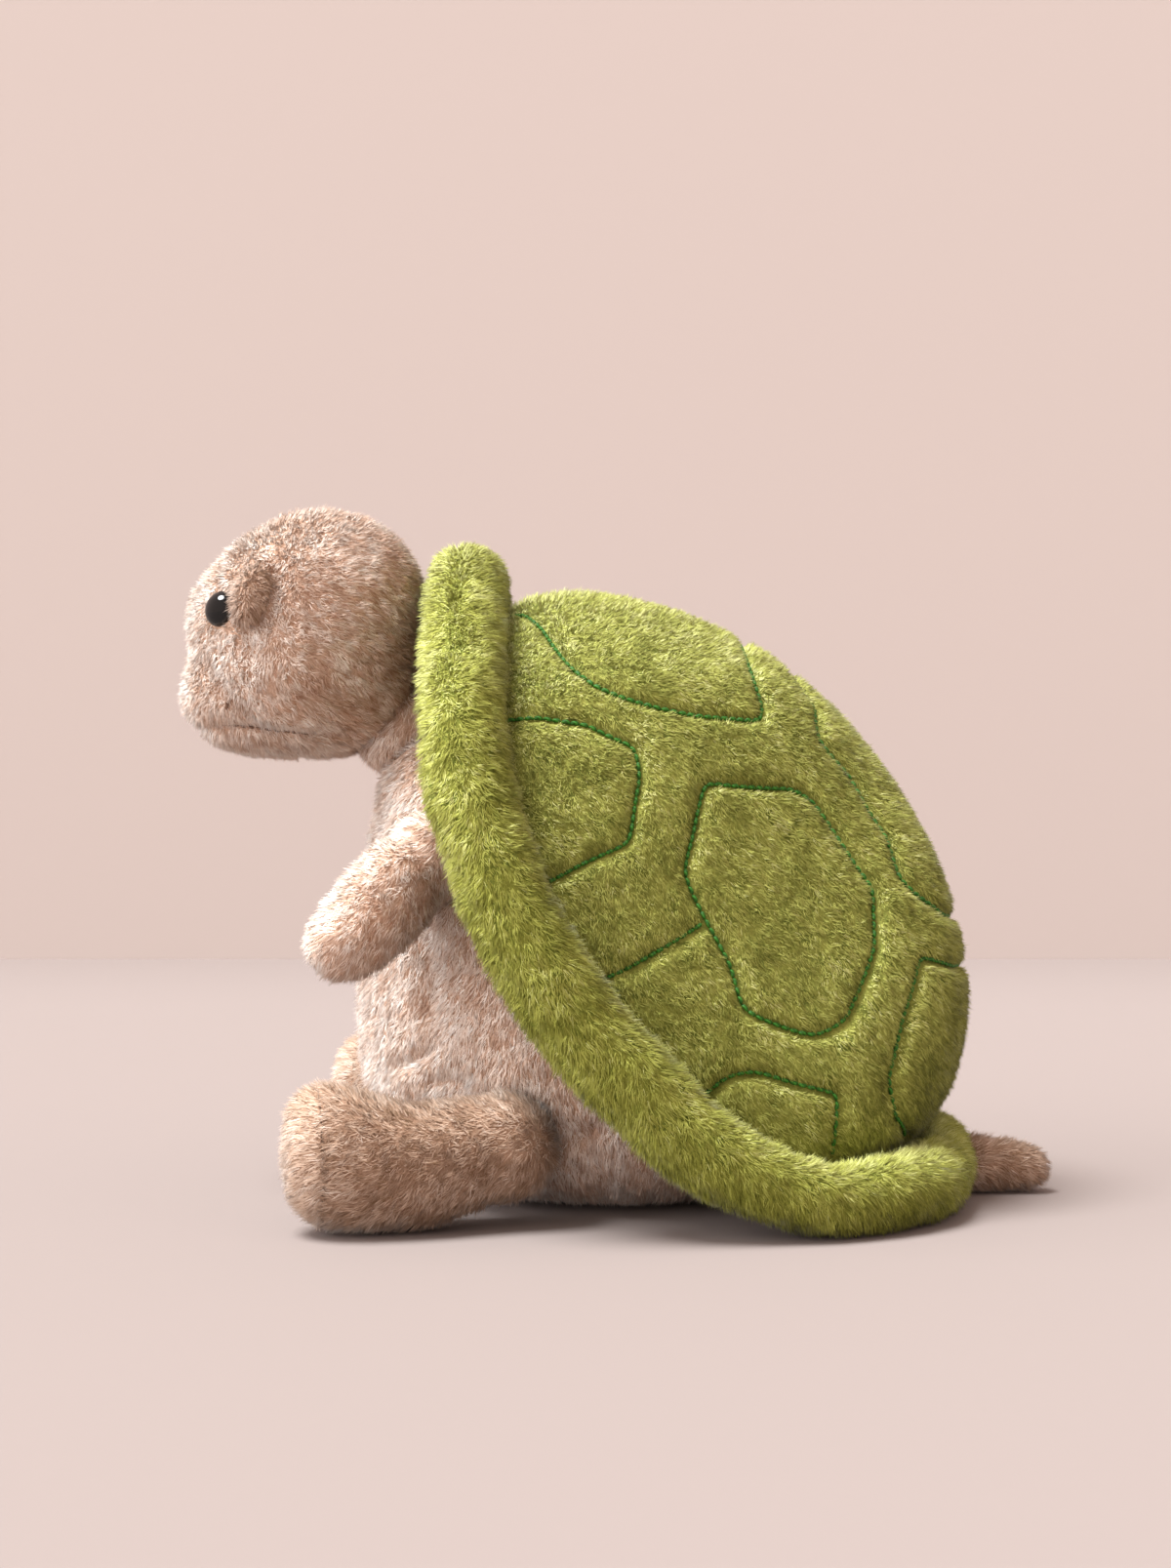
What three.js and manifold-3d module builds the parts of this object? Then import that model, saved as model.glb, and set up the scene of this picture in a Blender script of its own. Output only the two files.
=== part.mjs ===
// Seated plush turtle: long-pile head, body, arms, legs and tail, each a sewn bag with its own
// filling, and a quilted shell with a stuffed rim on its back. Millimetres, +Z up, the turtle
// looks along -X and sits on the plane z = 0. Its left side is -Y.

import * as THREE from 'three';
import { mergeVertices } from 'three/addons/utils/BufferGeometryUtils.js';
import Module from 'manifold-3d';

const wasm = await Module();
wasm.setup();

// Cloth and clearances
const fitGap = 0.3;
const pileDepth = 9;
const flatDepth = 0.5;
const weldDistance = 0.001;
const shareStep = 0.01;

// Body bag: an egg that leans towards the head
const bodyHeight = 196;
const bodyHalfWidth = 80;
const bodyHalfDepth = 100;
const bodyLean = 76;
const bodyLeanShares = [0, 0.03, 0.22, 0.46, 0.74, 1];
const bodyWideShares = [1, 1.02, 1, 0.92, 0.82, 0.7];
const bodyDeepShares = [0.95, 1.02, 0.89, 0.71, 0.54, 0.45];
const bodyFullness = { lower: 4, upper: 2 };

// Pellet bag that steadies the seat
const pelletHalfWidth = 48;
const pelletHalfDepth = 56;
const pelletHeight = 26;

// Head bag, with its flat chin and low snout
const chinSink = 19;
const headBottom = bodyHeight - chinSink;
const headHeight = 103;
const headHalfWidth = 49;
const headHalfDepth = 49;
const headLead = 43;
const headCentreX = -bodyLean - headLead;
const headSnout = 9;
const headSnoutShares = [1, 1, 0.9, 0.8, 0.3, 0];
const headWideShares = [1.2, 1.08, 1.02, 1, 1, 1];
const headDeepShares = [1.28, 1.12, 1.02, 1.035, 1, 0.98];
const headFullness = { lower: 2.4, upper: 2 };

// Neck: a ball of filling between the two bags, and how far the head moves on it
const neckLead = 10;
const neckSink = 6;
const neckX = -bodyLean - neckLead;
const neckZ = bodyHeight - neckSink;
const neckRadius = 22;
const headTurnReach = 20;
const headNodReach = 15;
const throatClearance = 1.2;

// Eyes with their shanks and locking washers
const eyeRadius = 7.2;
const eyeCrown = 5.2;
const eyeFlange = 1;
const eyeSink = 3.6;
const shankRadius = 2;
const shankLength = 13;
const shankRidge = 0.5;
const shankRidgeCount = 3;
const washerRadius = 9;
const washerThickness = 1.6;
const washerSeat = 3.4;
const eyeHeightShare = 0.585;
const eyeTurn = 49;

// Lids, nostrils and mouth
const lidHeightShare = 0.62;
const lidTurn = 69;
const lidHalfHeight = 14;
const lidHalfWidth = 9;
const lidHalfThickness = 6;
const threadRadius = 0.9;
const mouthTurn = 100;
const mouthHeightShares = [0.07, 0.11, 0.13, 0.11, 0.07];
const nostrilTurn = 56;
const nostrilHeightShare = 0.2;
const nostrilHalfLength = 2.6;

// Arms
const shoulderX = -68;
const shoulderY = 66;
const shoulderZ = 140;
const armRadius = 18;
const armReach = 46;
const armSpread = 27;
const armDrop = 41;
const armBendShare = 0.55;
const armBendDrop = 4;
const armWideShares = [0.76, 0.89, 0.98, 0.99, 0.95];
const armFullness = 2.4;
const limbRootShare = 0.7;
const armSocketDepth = 8;

// Legs and soles
const hipX = -42;
const hipY = 81;
const legRadius = 21;
const hipLift = 9;
const hipLiftShare = 0.45;
const legReach = 82;
const legSpread = 22;
const legBendShare = 0.6;
const footHalfHeight = 31;
const legTallShares = [0.1, 0.3, 0.45, 0.85, 1];
const legWideShares = [0.96, 1.04, 1.16, 1.24, 1.24];
const legFullness = 3;
const soleDepth = 16;
const soleTilt = 8;
const legSocketDepth = 15;

// Tail
const tailRadius = 12;
const tailReach = 31;
const tailWideShares = [1, 1, 0.97, 0.92, 0.86];
const tailFullness = 3;
const tailRootSink = 0.4;
const tailPileDepth = 5;
const tailRootDepth = 4;
const tailSocketDepth = 8;

// Shell: its own frame runs along the back, across it, and out of it
const shellCentreX = 37;
const shellCentreZ = 132;
const shellHalfLength = 148;
const shellHalfWidth = 115;
const shellDroop = 72;
const shellTilt = 50.6;
const domeHeight = 84;
const domeLengthShare = 0.905;
const domeWidthShare = 0.87;
const coverThickness = 13;
const coverLip = 2;
const liningThickness = 3;
const mouthDepth = 34;
const fillingGap = 0.9;

// Rim roll: one side's route from its top to its rear, as shares of the shell's half length,
// half width and droop, then its thickness and how far the floor presses it flat
const rimRadius = 18;
const rimRouteShares = [
  [-1.015, 0, -0.04],
  [-0.8, 0.63, -0.38],
  [-0.58, 0.86, -0.68],
  [-0.34, 0.965, -0.88],
  [-0.08, 1, -1],
  [0.25, 1, -1],
  [0.5, 0.99, -0.93],
  [0.77, 0.92, -0.645],
  [0.93, 0.68, -0.265],
  [1, 0.3, -0.075],
  [1, 0, -0.02],
];
const rimRollShares = [0.97, 0.98, 1, 1, 1, 1, 0.97, 1, 0.98, 0.92, 0.92];
const rimSquashShares = [1, 1, 1, 1, 1, 1, 0.98, 0.8, 0.82, 0.97, 1];
const rimSlitRadius = 4;

// Quilting: channels pressed into the cover along the scute seams, with a thread in each
const channelRadius = 4.6;
const channelDepth = 4;
const channelSides = 5;
const threadSides = 4;
const seamSpacing = 24;
const mouthStations = 9;
const mouthStepCount = 16;
const eyeArcSteps = 4;
const stitchCapSteps = 2;

// Scute seams on one side: how far round from the rim's top to its rear, how far up the dome
const spineFrontShares = [
  [0.04, 0.03], [0.06, 0.22], [0.12, 0.31], [0.2, 0.5], [0.24, 0.64], [0.13, 0.68], [0, 0.69],
];
const spineMiddleShares = [
  [0, 0.8], [0.16, 0.83], [0.32, 0.77], [0.46, 0.78], [0.64, 0.73], [0.68, 0.66], [0.82, 0.61],
  [1, 0.6],
];
const spineRearShares = [
  [0.85, 0.03], [0.78, 0.14], [0.74, 0.26], [0.73, 0.39], [0.74, 0.52], [0.83, 0.5], [1, 0.49],
];
const sideFrontShares = [
  [0.12, 0.04], [0.14, 0.17], [0.17, 0.29], [0.22, 0.38], [0.26, 0.37], [0.33, 0.3], [0.32, 0.2],
  [0.31, 0.03],
];
const sideHexagonShares = [
  [0.31, 0.48], [0.4, 0.63], [0.44, 0.65], [0.56, 0.63], [0.63, 0.61], [0.66, 0.51], [0.66, 0.36],
  [0.64, 0.31], [0.55, 0.28], [0.5, 0.32], [0.4, 0.36], [0.37, 0.41],
];
const sideLinkShares = [[0.43, 0.03], [0.44, 0.15], [0.45, 0.28]];
const sideRearShares = [[0.58, 0.03], [0.59, 0.16], [0.61, 0.2], [0.69, 0.22], [0.71, 0.14], [0.735, 0.03]];

// Mesh counts
const outerSides = 22;
const outerRings = 12;
const innerSides = 14;
const innerRings = 9;
const limbSides = 16;
const limbRings = 8;
const neckSides = 20;
const neckRings = 10;
const fillingSides = 12;
const fillingRings = 6;
const smallSides = 9;
const smallRings = 6;
const shellSides = 24;
const shellRings = 12;
const liningSides = 18;
const liningRings = 10;
const rimSteps = 32;
const rimSides = 8;

// Cloth and plastic
function cloth(color) {
  return new THREE.MeshStandardMaterial({ color, roughness: 0.95, metalness: 0 });
}
const taupePlush = () => cloth(0xc9ada0);
const browPlush = () => cloth(0xa98a76);
const greenPlush = () => cloth(0x93a548);
const limePlush = () => cloth(0x9fae49);
const greenThread = () => cloth(0x2f6b2a);
const brownThread = () => cloth(0x6f5547);
const liningCloth = () => cloth(0x8d9a4c);
const fibre = () => cloth(0xf2f0ea);
const pelletCloth = () => cloth(0xe4ddd0);
const blackPlastic = () => new THREE.MeshStandardMaterial({ color: 0x0b0b0c, roughness: 0.08, metalness: 0 });
const whitePlastic = () => new THREE.MeshStandardMaterial({ color: 0xe9e9e6, roughness: 0.45, metalness: 0 });

// Reads a row of shares, spread evenly from one end to the other, as a smooth curve.
function shareCurve(shares) {
  const curve = new THREE.SplineCurve(shares.map((share, index) => new THREE.Vector2(index, share)));
  return (place) => curve.getPoint(THREE.MathUtils.clamp(place, 0, 1)).y;
}

function weld(geometry) {
  geometry.deleteAttribute('normal');
  geometry.deleteAttribute('uv');
  return mergeVertices(geometry, weldDistance);
}

function signedVolume(geometry) {
  const [a, b, c] = [new THREE.Vector3(), new THREE.Vector3(), new THREE.Vector3()];
  const corners = geometry.index.array;
  let total = 0;
  for (let first = 0; first < corners.length; first += 3) {
    a.fromBufferAttribute(geometry.attributes.position, corners[first]);
    b.fromBufferAttribute(geometry.attributes.position, corners[first + 1]);
    c.fromBufferAttribute(geometry.attributes.position, corners[first + 2]);
    total += a.dot(b.cross(c));
  }
  return total;
}

function solidOf(geometry) {
  const triVerts = Uint32Array.from(geometry.index.array);
  if (signedVolume(geometry) < 0) triVerts.reverse();
  const vertProperties = Float32Array.from(geometry.attributes.position.array);
  return new wasm.Manifold(new wasm.Mesh({ numProp: 3, vertProperties, triVerts }));
}

function geometryOf(solid) {
  const mesh = solid.getMesh();
  const geometry = new THREE.BufferGeometry();
  geometry.setAttribute('position', new THREE.BufferAttribute(Float32Array.from(mesh.vertProperties), 3));
  geometry.setIndex(new THREE.BufferAttribute(Uint32Array.from(mesh.triVerts), 1));
  return geometry;
}

function joined(solids) {
  return solids.reduce((whole, solid) => whole.add(solid));
}

function cutBy(solid, cutters) {
  return cutters.reduce((rest, cutter) => rest.subtract(cutter), solid);
}

// Moves every point of a unit ball. place gets how far along the ball's axis the point is, from
// -1 to 1, and the point's direction round it, and answers where the point goes.
function pulledBall(sides, rings, place) {
  const ball = new THREE.SphereGeometry(1, sides, rings);
  const points = ball.attributes.position;
  for (let index = 0; index < points.count; index += 1) {
    const along = THREE.MathUtils.clamp(points.getY(index), -1, 1);
    const reach = Math.hypot(points.getX(index), points.getZ(index));
    const inside = reach < weldDistance;
    const sideways = inside ? 0 : points.getX(index) / reach;
    const upward = inside ? 0 : points.getZ(index) / reach;
    const point = place(along, sideways, upward);
    points.setXYZ(index, point.x, point.y, point.z);
  }
  return weld(ball);
}

// Moves a closed surface inwards by a cloth's thickness, or outwards where the depth is negative.
function inset(geometry, depth) {
  const moved = geometry.clone();
  moved.computeVertexNormals();
  const facing = Math.sign(signedVolume(moved));
  const points = moved.attributes.position;
  const normals = moved.attributes.normal;
  for (let index = 0; index < points.count; index += 1) {
    const shift = -depth * facing;
    points.setXYZ(
      index,
      points.getX(index) + normals.getX(index) * shift,
      points.getY(index) + normals.getY(index) * shift,
      points.getZ(index) + normals.getZ(index) * shift,
    );
  }
  moved.deleteAttribute('normal');
  return moved;
}

// How far a stuffed form has swollen at a place along it: 1 in the middle, 0 at both ends.
function swell(along, fullness) {
  const power = typeof fullness === 'number' ? fullness : fullness[along < 0 ? 'lower' : 'upper'];
  return (1 - Math.abs(along) ** power) ** (1 / power);
}

function ballAt(centre, radius, sides, rings) {
  const ball = new THREE.SphereGeometry(radius, sides, rings);
  ball.translate(centre.x, centre.y, centre.z);
  return weld(ball);
}

// Body

const bodyLeanAt = shareCurve(bodyLeanShares);
const bodyWideAt = shareCurve(bodyWideShares);
const bodyDeepAt = shareCurve(bodyDeepShares);

function bodyForm(sides, rings) {
  return pulledBall(sides, rings, (along, sideways, upward) => {
    const height = (along + 1) / 2;
    const full = swell(along, bodyFullness);
    return new THREE.Vector3(
      -bodyLean * bodyLeanAt(height) + bodyHalfDepth * bodyDeepAt(height) * full * upward,
      bodyHalfWidth * bodyWideAt(height) * full * sideways,
      bodyHeight * height - flatDepth,
    );
  });
}

// Head

const headSnoutAt = shareCurve(headSnoutShares);
const headWideAt = shareCurve(headWideShares);
const headDeepAt = shareCurve(headDeepShares);

function headPoint(along, sideways, upward) {
  const height = (along + 1) / 2;
  const full = swell(along, headFullness);
  return new THREE.Vector3(
    headCentreX - headSnout * headSnoutAt(height) + headHalfDepth * headDeepAt(height) * full * upward,
    headHalfWidth * headWideAt(height) * full * sideways,
    headBottom + headHeight * height,
  );
}

function headForm(sides, rings) {
  return pulledBall(sides, rings, headPoint);
}

// A place on the head's pile: its height share and how far round it is from the snout's line.
function headSurface(heightShare, turn, side) {
  const angle = THREE.MathUtils.degToRad(turn);
  const at = (share, bearing) => headPoint(share * 2 - 1, side * Math.sin(bearing), -Math.cos(bearing));
  const step = shareStep;
  const point = at(heightShare, angle);
  const rise = at(heightShare + step, angle).sub(at(heightShare - step, angle));
  const round = at(heightShare, angle + step).sub(at(heightShare, angle - step));
  const normal = rise.clone().cross(round).normalize();
  const outward = point.clone().sub(new THREE.Vector3(headCentreX, 0, point.z));
  if (normal.dot(outward) < 0) normal.negate();
  return { point, normal, rise: rise.normalize() };
}

const neckPivot = new THREE.Vector3(neckX, 0, neckZ);
const headMiddle = new THREE.Vector3(headCentreX, 0, headBottom + headHeight / 2);
const neckAxis = headMiddle.clone().sub(neckPivot).normalize();
const nodAxis = new THREE.Vector3(0, -1, 0);

function turned(geometry, pivot, axis, angle) {
  const copy = geometry.clone();
  copy.translate(-pivot.x, -pivot.y, -pivot.z);
  copy.applyMatrix4(new THREE.Matrix4().makeRotationAxis(axis, THREE.MathUtils.degToRad(angle)));
  copy.translate(pivot.x, pivot.y, pivot.z);
  return copy;
}

// The room that the head needs as it turns and nods.
function headRoom() {
  const head = inset(headForm(innerSides, innerRings), -throatClearance);
  const room = [];
  for (const turn of [-headTurnReach, 0, headTurnReach]) {
    for (const nod of [0, headNodReach]) {
      const nodded = turned(head, neckPivot, nodAxis, nod);
      room.push(solidOf(turned(nodded, neckPivot, neckAxis, turn)));
    }
  }
  return joined(room);
}

// Limbs

// A stuffed limb along a route: as wide and as tall as its shares say, with rounded ends.
function limbForm({ route, wideAt, tallAt, fullness, level, lift = 0 }, sides, rings) {
  const acrossAll = new THREE.Vector3(0, 1, 0);
  return pulledBall(sides, rings, (along, sideways, upward) => {
    const place = (along + 1) / 2;
    const centre = route.getPoint(place);
    const heading = route.getTangent(place);
    const tall = tallAt(place);
    const up = level ? new THREE.Vector3(0, 0, 1) : acrossAll.clone().cross(heading).normalize();
    const raised = lift * (1 - THREE.MathUtils.smoothstep(place, 0, hipLiftShare));
    if (level) centre.z = tall - flatDepth + raised;
    const across = heading.clone().cross(up).normalize();
    const full = swell(along, fullness);
    return centre
      .addScaledVector(across, wideAt(place) * full * sideways)
      .addScaledVector(up, tall * full * upward);
  });
}

// Where a limb's swelling starts: inside the ball at its joint, behind the pivot.
function rootOf(pivot, tip, radius) {
  return pivot.clone().addScaledVector(tip.clone().sub(pivot).normalize(), -radius * limbRootShare);
}

// Splits a limb into its cloth bag, open where it is sewn on, and the filling inside it.
function bagAndFilling(limb, pivot, radius, opening, depth) {
  const open = (solid) => solid.trimByPlane(opening.normal, opening.offset).trimByPlane([0, 0, 1], 0);
  const forms = (sides, rings) => [ballAt(pivot, radius, sides, rings), limbForm(limb, sides, rings)];
  const outer = forms(limbSides, limbRings);
  const inner = forms(fillingSides, fillingRings);
  const shell = joined(outer.map((form) => solidOf(form)));
  const hollow = joined(inner.map((form) => solidOf(inset(form, depth))));
  const lump = joined(inner.map((form) => solidOf(inset(form, depth + fitGap))));
  return { bag: open(shell.subtract(hollow)), filling: open(lump) };
}

// The room in which a ball of filling turns: even the middles of its flats clear the ball.
function roomAround(pivot, radius, sides, rings) {
  const flatShare = Math.cos(Math.PI / sides) * Math.cos(Math.PI / 2 / rings);
  return solidOf(ballAt(pivot, (radius + fitGap) / flatShare, sides, rings));
}

function socketFor(pivot, radius, opening) {
  const room = roomAround(pivot, radius, limbSides, limbRings);
  return room.trimByPlane(opening.normal, opening.offset - fitGap);
}

function armPieces(side) {
  const pivot = new THREE.Vector3(shoulderX, side * shoulderY, shoulderZ);
  const tip = new THREE.Vector3(shoulderX - armReach, side * (shoulderY + armSpread), shoulderZ - armDrop);
  const bend = pivot.clone().lerp(tip, armBendShare);
  bend.y = THREE.MathUtils.lerp(bend.y, tip.y, armBendShare);
  bend.z -= armBendDrop;
  const wideAt = shareCurve(armWideShares.map((share) => share * armRadius));
  const route = new THREE.QuadraticBezierCurve3(rootOf(pivot, bend, armRadius), bend, tip);
  const limb = { route, wideAt, tallAt: wideAt, fullness: armFullness, level: false };
  const opening = { normal: [0, side, 0], offset: shoulderY - armSocketDepth };
  const pieces = bagAndFilling(limb, pivot, armRadius, opening, pileDepth);
  return { ...pieces, pivot, socket: socketFor(pivot, armRadius, opening) };
}

function legPieces(side) {
  const pivot = new THREE.Vector3(hipX, side * hipY, legRadius - flatDepth + hipLift);
  const toe = new THREE.Vector3(hipX - legReach, side * (hipY + legSpread), pivot.z);
  const bend = pivot.clone().lerp(toe, legBendShare);
  bend.y = THREE.MathUtils.lerp(bend.y, toe.y, legBendShare);
  const route = new THREE.QuadraticBezierCurve3(rootOf(pivot, bend, legRadius), bend, toe);
  const wideAt = shareCurve(legWideShares.map((share) => share * legRadius));
  const tallAtShare = (share) => THREE.MathUtils.lerp(legRadius, footHalfHeight, share);
  const tallAt = shareCurve(legTallShares.map(tallAtShare));
  const limb = { route, wideAt, tallAt, fullness: legFullness, level: true, lift: hipLift };
  const opening = { normal: [0, side, 0], offset: hipY - legSocketDepth };
  const pieces = bagAndFilling(limb, pivot, legRadius, opening, pileDepth);

  // The sole panel is the part of the bag in front of a tilted seam.
  const tilt = THREE.MathUtils.degToRad(soleTilt);
  const ahead = [-Math.cos(tilt), 0, -Math.sin(tilt)];
  const back = ahead.map((value) => -value);
  const seamX = toe.x + soleDepth;
  const seamOffset = ahead[0] * seamX + ahead[2] * footHalfHeight;
  const sole = pieces.bag.trimByPlane(ahead, seamOffset);
  const bag = pieces.bag.trimByPlane(back, -seamOffset + fitGap);
  return { ...pieces, bag, sole, pivot, socket: socketFor(pivot, legRadius, opening) };
}

// Shell

const shellAngle = THREE.MathUtils.degToRad(shellTilt);
const shellCentre = new THREE.Vector3(shellCentreX, 0, shellCentreZ);
const shellAlong = new THREE.Vector3(Math.cos(shellAngle), 0, -Math.sin(shellAngle));
const shellAcross = new THREE.Vector3(0, 1, 0);
const shellOut = new THREE.Vector3(Math.sin(shellAngle), 0, Math.cos(shellAngle));

function inShell(along, across, out) {
  return shellCentre
    .clone()
    .addScaledVector(shellAlong, along)
    .addScaledVector(shellAcross, across)
    .addScaledVector(shellOut, out);
}

const shellSizes = new THREE.Vector3(shellHalfLength, shellHalfWidth, shellDroop);
const rimSide = rimRouteShares.map((shares) => new THREE.Vector3(...shares).multiply(shellSizes));
const mirrored = (point) => new THREE.Vector3(point.x, -point.y, point.z);
const otherSide = rimSide.slice(1, -1).reverse().map(mirrored);

function closedRoute(points) {
  return new THREE.CatmullRomCurve3(points, true, 'catmullrom');
}
const rimOutline = closedRoute([...rimSide, ...otherSide]);
const rimRoute = closedRoute(rimOutline.points.map((point) => inShell(point.x, point.y, point.z)));

// A place on the dome. round runs from 0 at the rim's top to 1 at its rear, on the given side;
// up runs from 0 at the rim to 1 at the crown. depth is how far under the pile it lies.
function domePoint(round, up, side, depth = 0) {
  const edge = rimOutline.getPoint(round / 2);
  const reach = Math.cos((up * Math.PI) / 2);
  const edgeAlong = edge.x * domeLengthShare;
  const edgeAcross = edge.y * domeWidthShare;
  const inward = 1 - depth / Math.hypot(edgeAlong, edgeAcross);
  return inShell(
    edgeAlong * inward * reach,
    side * edgeAcross * inward * reach,
    edge.z * reach * reach + (domeHeight - depth) * Math.sin((up * Math.PI) / 2),
  );
}

// The whole cushion of the shell: the dome above, and a bowl of the given depth below.
function domeForm(sides, rings, depth, bowl) {
  return pulledBall(sides, rings, (along, sideways, upward) => {
    const bearing = Math.atan2(sideways, -upward);
    const edge = rimOutline.getPoint((bearing / (2 * Math.PI) + 1) % 1);
    const reach = Math.sqrt(1 - along * along);
    const edgeAlong = edge.x * domeLengthShare;
    const edgeAcross = edge.y * domeWidthShare;
    const inward = 1 - depth / Math.hypot(edgeAlong, edgeAcross);
    const rise = along > 0 ? (domeHeight - depth) * along : bowl * along;
    return inShell(edgeAlong * inward * reach, edgeAcross * inward * reach, edge.z * reach * reach + rise);
  });
}

const rimRollAt = shareCurve(rimRollShares);
const rimSquashAt = shareCurve(rimSquashShares);

// The rim roll at a given depth under its pile; the floor presses it flat at the bottom.
function rimForm(sides, depth) {
  const roll = new THREE.TubeGeometry(rimRoute, rimSteps, 1, sides, true);
  const points = roll.attributes.position;
  const point = new THREE.Vector3();
  for (let index = 0; index < points.count; index += 1) {
    const travelled = Math.floor(index / (sides + 1)) / rimSteps;
    const place = rimRoute.getUtoTmapping(travelled);
    const centre = rimRoute.getPoint(place);
    const fromTop = 1 - Math.abs(1 - 2 * place);
    point.fromBufferAttribute(points, index).sub(centre);
    point.multiplyScalar(rimRadius * rimRollAt(fromTop) - depth);
    point.z *= rimSquashAt(fromTop);
    point.add(centre);
    points.setXYZ(index, point.x, point.y, point.z);
  }
  return weld(roll);
}

// A round cord along a route: closed routes give a ring, others end in flat faces.
function cordAlong(route, radius, sides, steps) {
  if (route.closed) return weld(new THREE.TubeGeometry(route, steps, radius, sides, true));
  const section = new THREE.Shape().absarc(0, 0, radius, 0, Math.PI * 2);
  const settings = { steps, bevelEnabled: false, curveSegments: sides / 2, extrudePath: route };
  return weld(new THREE.ExtrudeGeometry(section, settings));
}

function stepsOf(route, step) {
  return Math.max(2, Math.round(route.getLength() / step));
}

// A seam's route on the dome, at a height over the pile, with its straight runs kept on the dome.
function seamRoute(shares, side, over, closed) {
  const corners = shares.map(([round, up]) => domePoint(round, up, side, -over));
  return new THREE.CatmullRomCurve3(corners, closed, 'centripetal');
}

// A seam that crosses the spine: its left half, then its right half in reverse.
function spineRoute(shares, over, closed) {
  const left = shares.map(([round, up]) => domePoint(round, up, -1, -over));
  const right = shares.map(([round, up]) => domePoint(round, up, 1, -over)).reverse();
  const rightFrom = right.slice(1);
  const all = closed ? [...left, ...rightFrom.slice(0, -1)] : [...left, ...rightFrom];
  return new THREE.CatmullRomCurve3(all, closed, 'centripetal');
}

const seams = [
  { name: 'seam_thread_spine_front', shares: spineFrontShares, spine: true, closed: false },
  { name: 'seam_thread_spine_middle', shares: spineMiddleShares, spine: true, closed: true },
  { name: 'seam_thread_spine_rear', shares: spineRearShares, spine: true, closed: false },
];
for (const [label, side] of [['left', -1], ['right', 1]]) {
  seams.push({ name: `seam_thread_side_front_${label}`, shares: sideFrontShares, side, closed: false });
  seams.push({ name: `seam_thread_side_middle_${label}`, shares: sideHexagonShares, side, closed: true });
  seams.push({ name: `seam_thread_side_link_${label}`, shares: sideLinkShares, side, closed: false });
  seams.push({ name: `seam_thread_side_rear_${label}`, shares: sideRearShares, side, closed: false });
}

function routeOf(seam, over) {
  if (seam.spine) return spineRoute(seam.shares, over, seam.closed);
  return seamRoute(seam.shares, seam.side, over, seam.closed);
}

// A cord laid along a seam, in the same number of steps at any height over the pile.
function seamCord(seam, over, radius, sides) {
  return solidOf(cordAlong(routeOf(seam, over), radius, sides, stepsOf(routeOf(seam, 0), seamSpacing)));
}

// Face

function facing(geometry, { point, normal, rise }) {
  const across = rise.clone().cross(normal).normalize();
  const upright = normal.clone().cross(across).normalize();
  geometry.applyMatrix4(new THREE.Matrix4().makeBasis(across, upright, normal));
  geometry.translate(point.x, point.y, point.z);
  return geometry;
}

// A safety eye's outline, from the crown of its dome to the tip of its ridged shank.
function eyeProfile(clearance) {
  const outline = [];
  for (let step = 0; step <= eyeArcSteps; step += 1) {
    const angle = (step / eyeArcSteps) * (Math.PI / 2);
    const radius = (eyeRadius + clearance) * Math.sin(angle);
    outline.push(new THREE.Vector2(radius, (eyeCrown + clearance) * Math.cos(angle)));
  }
  outline.push(new THREE.Vector2(eyeRadius + clearance, -eyeFlange - clearance));
  outline.push(new THREE.Vector2(shankRadius + clearance, -eyeFlange - clearance));
  if (clearance === 0) {
    const pitch = (shankLength - eyeFlange) / (shankRidgeCount + 2);
    for (let ridge = 1; ridge <= shankRidgeCount; ridge += 1) {
      const depth = -eyeFlange - pitch * (ridge + 1);
      outline.push(new THREE.Vector2(shankRadius, depth));
      outline.push(new THREE.Vector2(shankRadius - shankRidge, depth - pitch / 2));
    }
  }
  outline.push(new THREE.Vector2(shankRadius + clearance, -shankLength - clearance));
  outline.push(new THREE.Vector2(0, -shankLength - clearance));
  return outline;
}

function eyeForm(clearance) {
  const eye = new THREE.LatheGeometry(eyeProfile(clearance), smallSides);
  eye.rotateX(Math.PI / 2);
  return weld(eye);
}

// The pocket that an eye is pushed through: its dome's recess, open to the air, and its shank's hole.
function eyePocket(place) {
  const recess = new THREE.CylinderGeometry(eyeRadius + fitGap, eyeRadius + fitGap, pileDepth, smallSides);
  recess.rotateX(Math.PI / 2);
  recess.translate(0, 0, pileDepth / 2 - eyeFlange - fitGap);
  return solidOf(facing(weld(recess), place)).add(solidOf(facing(eyeForm(fitGap), place)));
}

function washerForm(clearance, bore) {
  const outer = washerRadius + clearance;
  const half = washerThickness / 2 + clearance;
  const outline = [[bore, -half], [outer, -half], [outer, half], [bore, half], [bore, -half]];
  const corners = outline.map(([radius, at]) => new THREE.Vector2(radius, at));
  const washer = new THREE.LatheGeometry(corners, smallSides);
  washer.rotateX(Math.PI / 2);
  return weld(washer);
}

function eyePieces(side) {
  const surface = headSurface(eyeHeightShare, eyeTurn, side);
  const place = { ...surface, point: surface.point.clone().addScaledVector(surface.normal, -eyeSink) };
  const washerSink = pileDepth - eyeSink + washerSeat + washerThickness / 2;
  const washerPlace = { ...surface, point: place.point.clone().addScaledVector(surface.normal, -washerSink) };
  const washerRoom = new THREE.CylinderGeometry(
    washerRadius + fitGap,
    washerRadius + fitGap,
    washerThickness + 2 * fitGap,
    smallSides,
  );
  washerRoom.rotateX(Math.PI / 2);
  return {
    eye: solidOf(facing(eyeForm(0), place)),
    washer: solidOf(facing(washerForm(0, shankRadius + fitGap), washerPlace)),
    pocket: eyePocket(place),
    washerRoom: solidOf(facing(weld(washerRoom), washerPlace)),
  };
}

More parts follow.
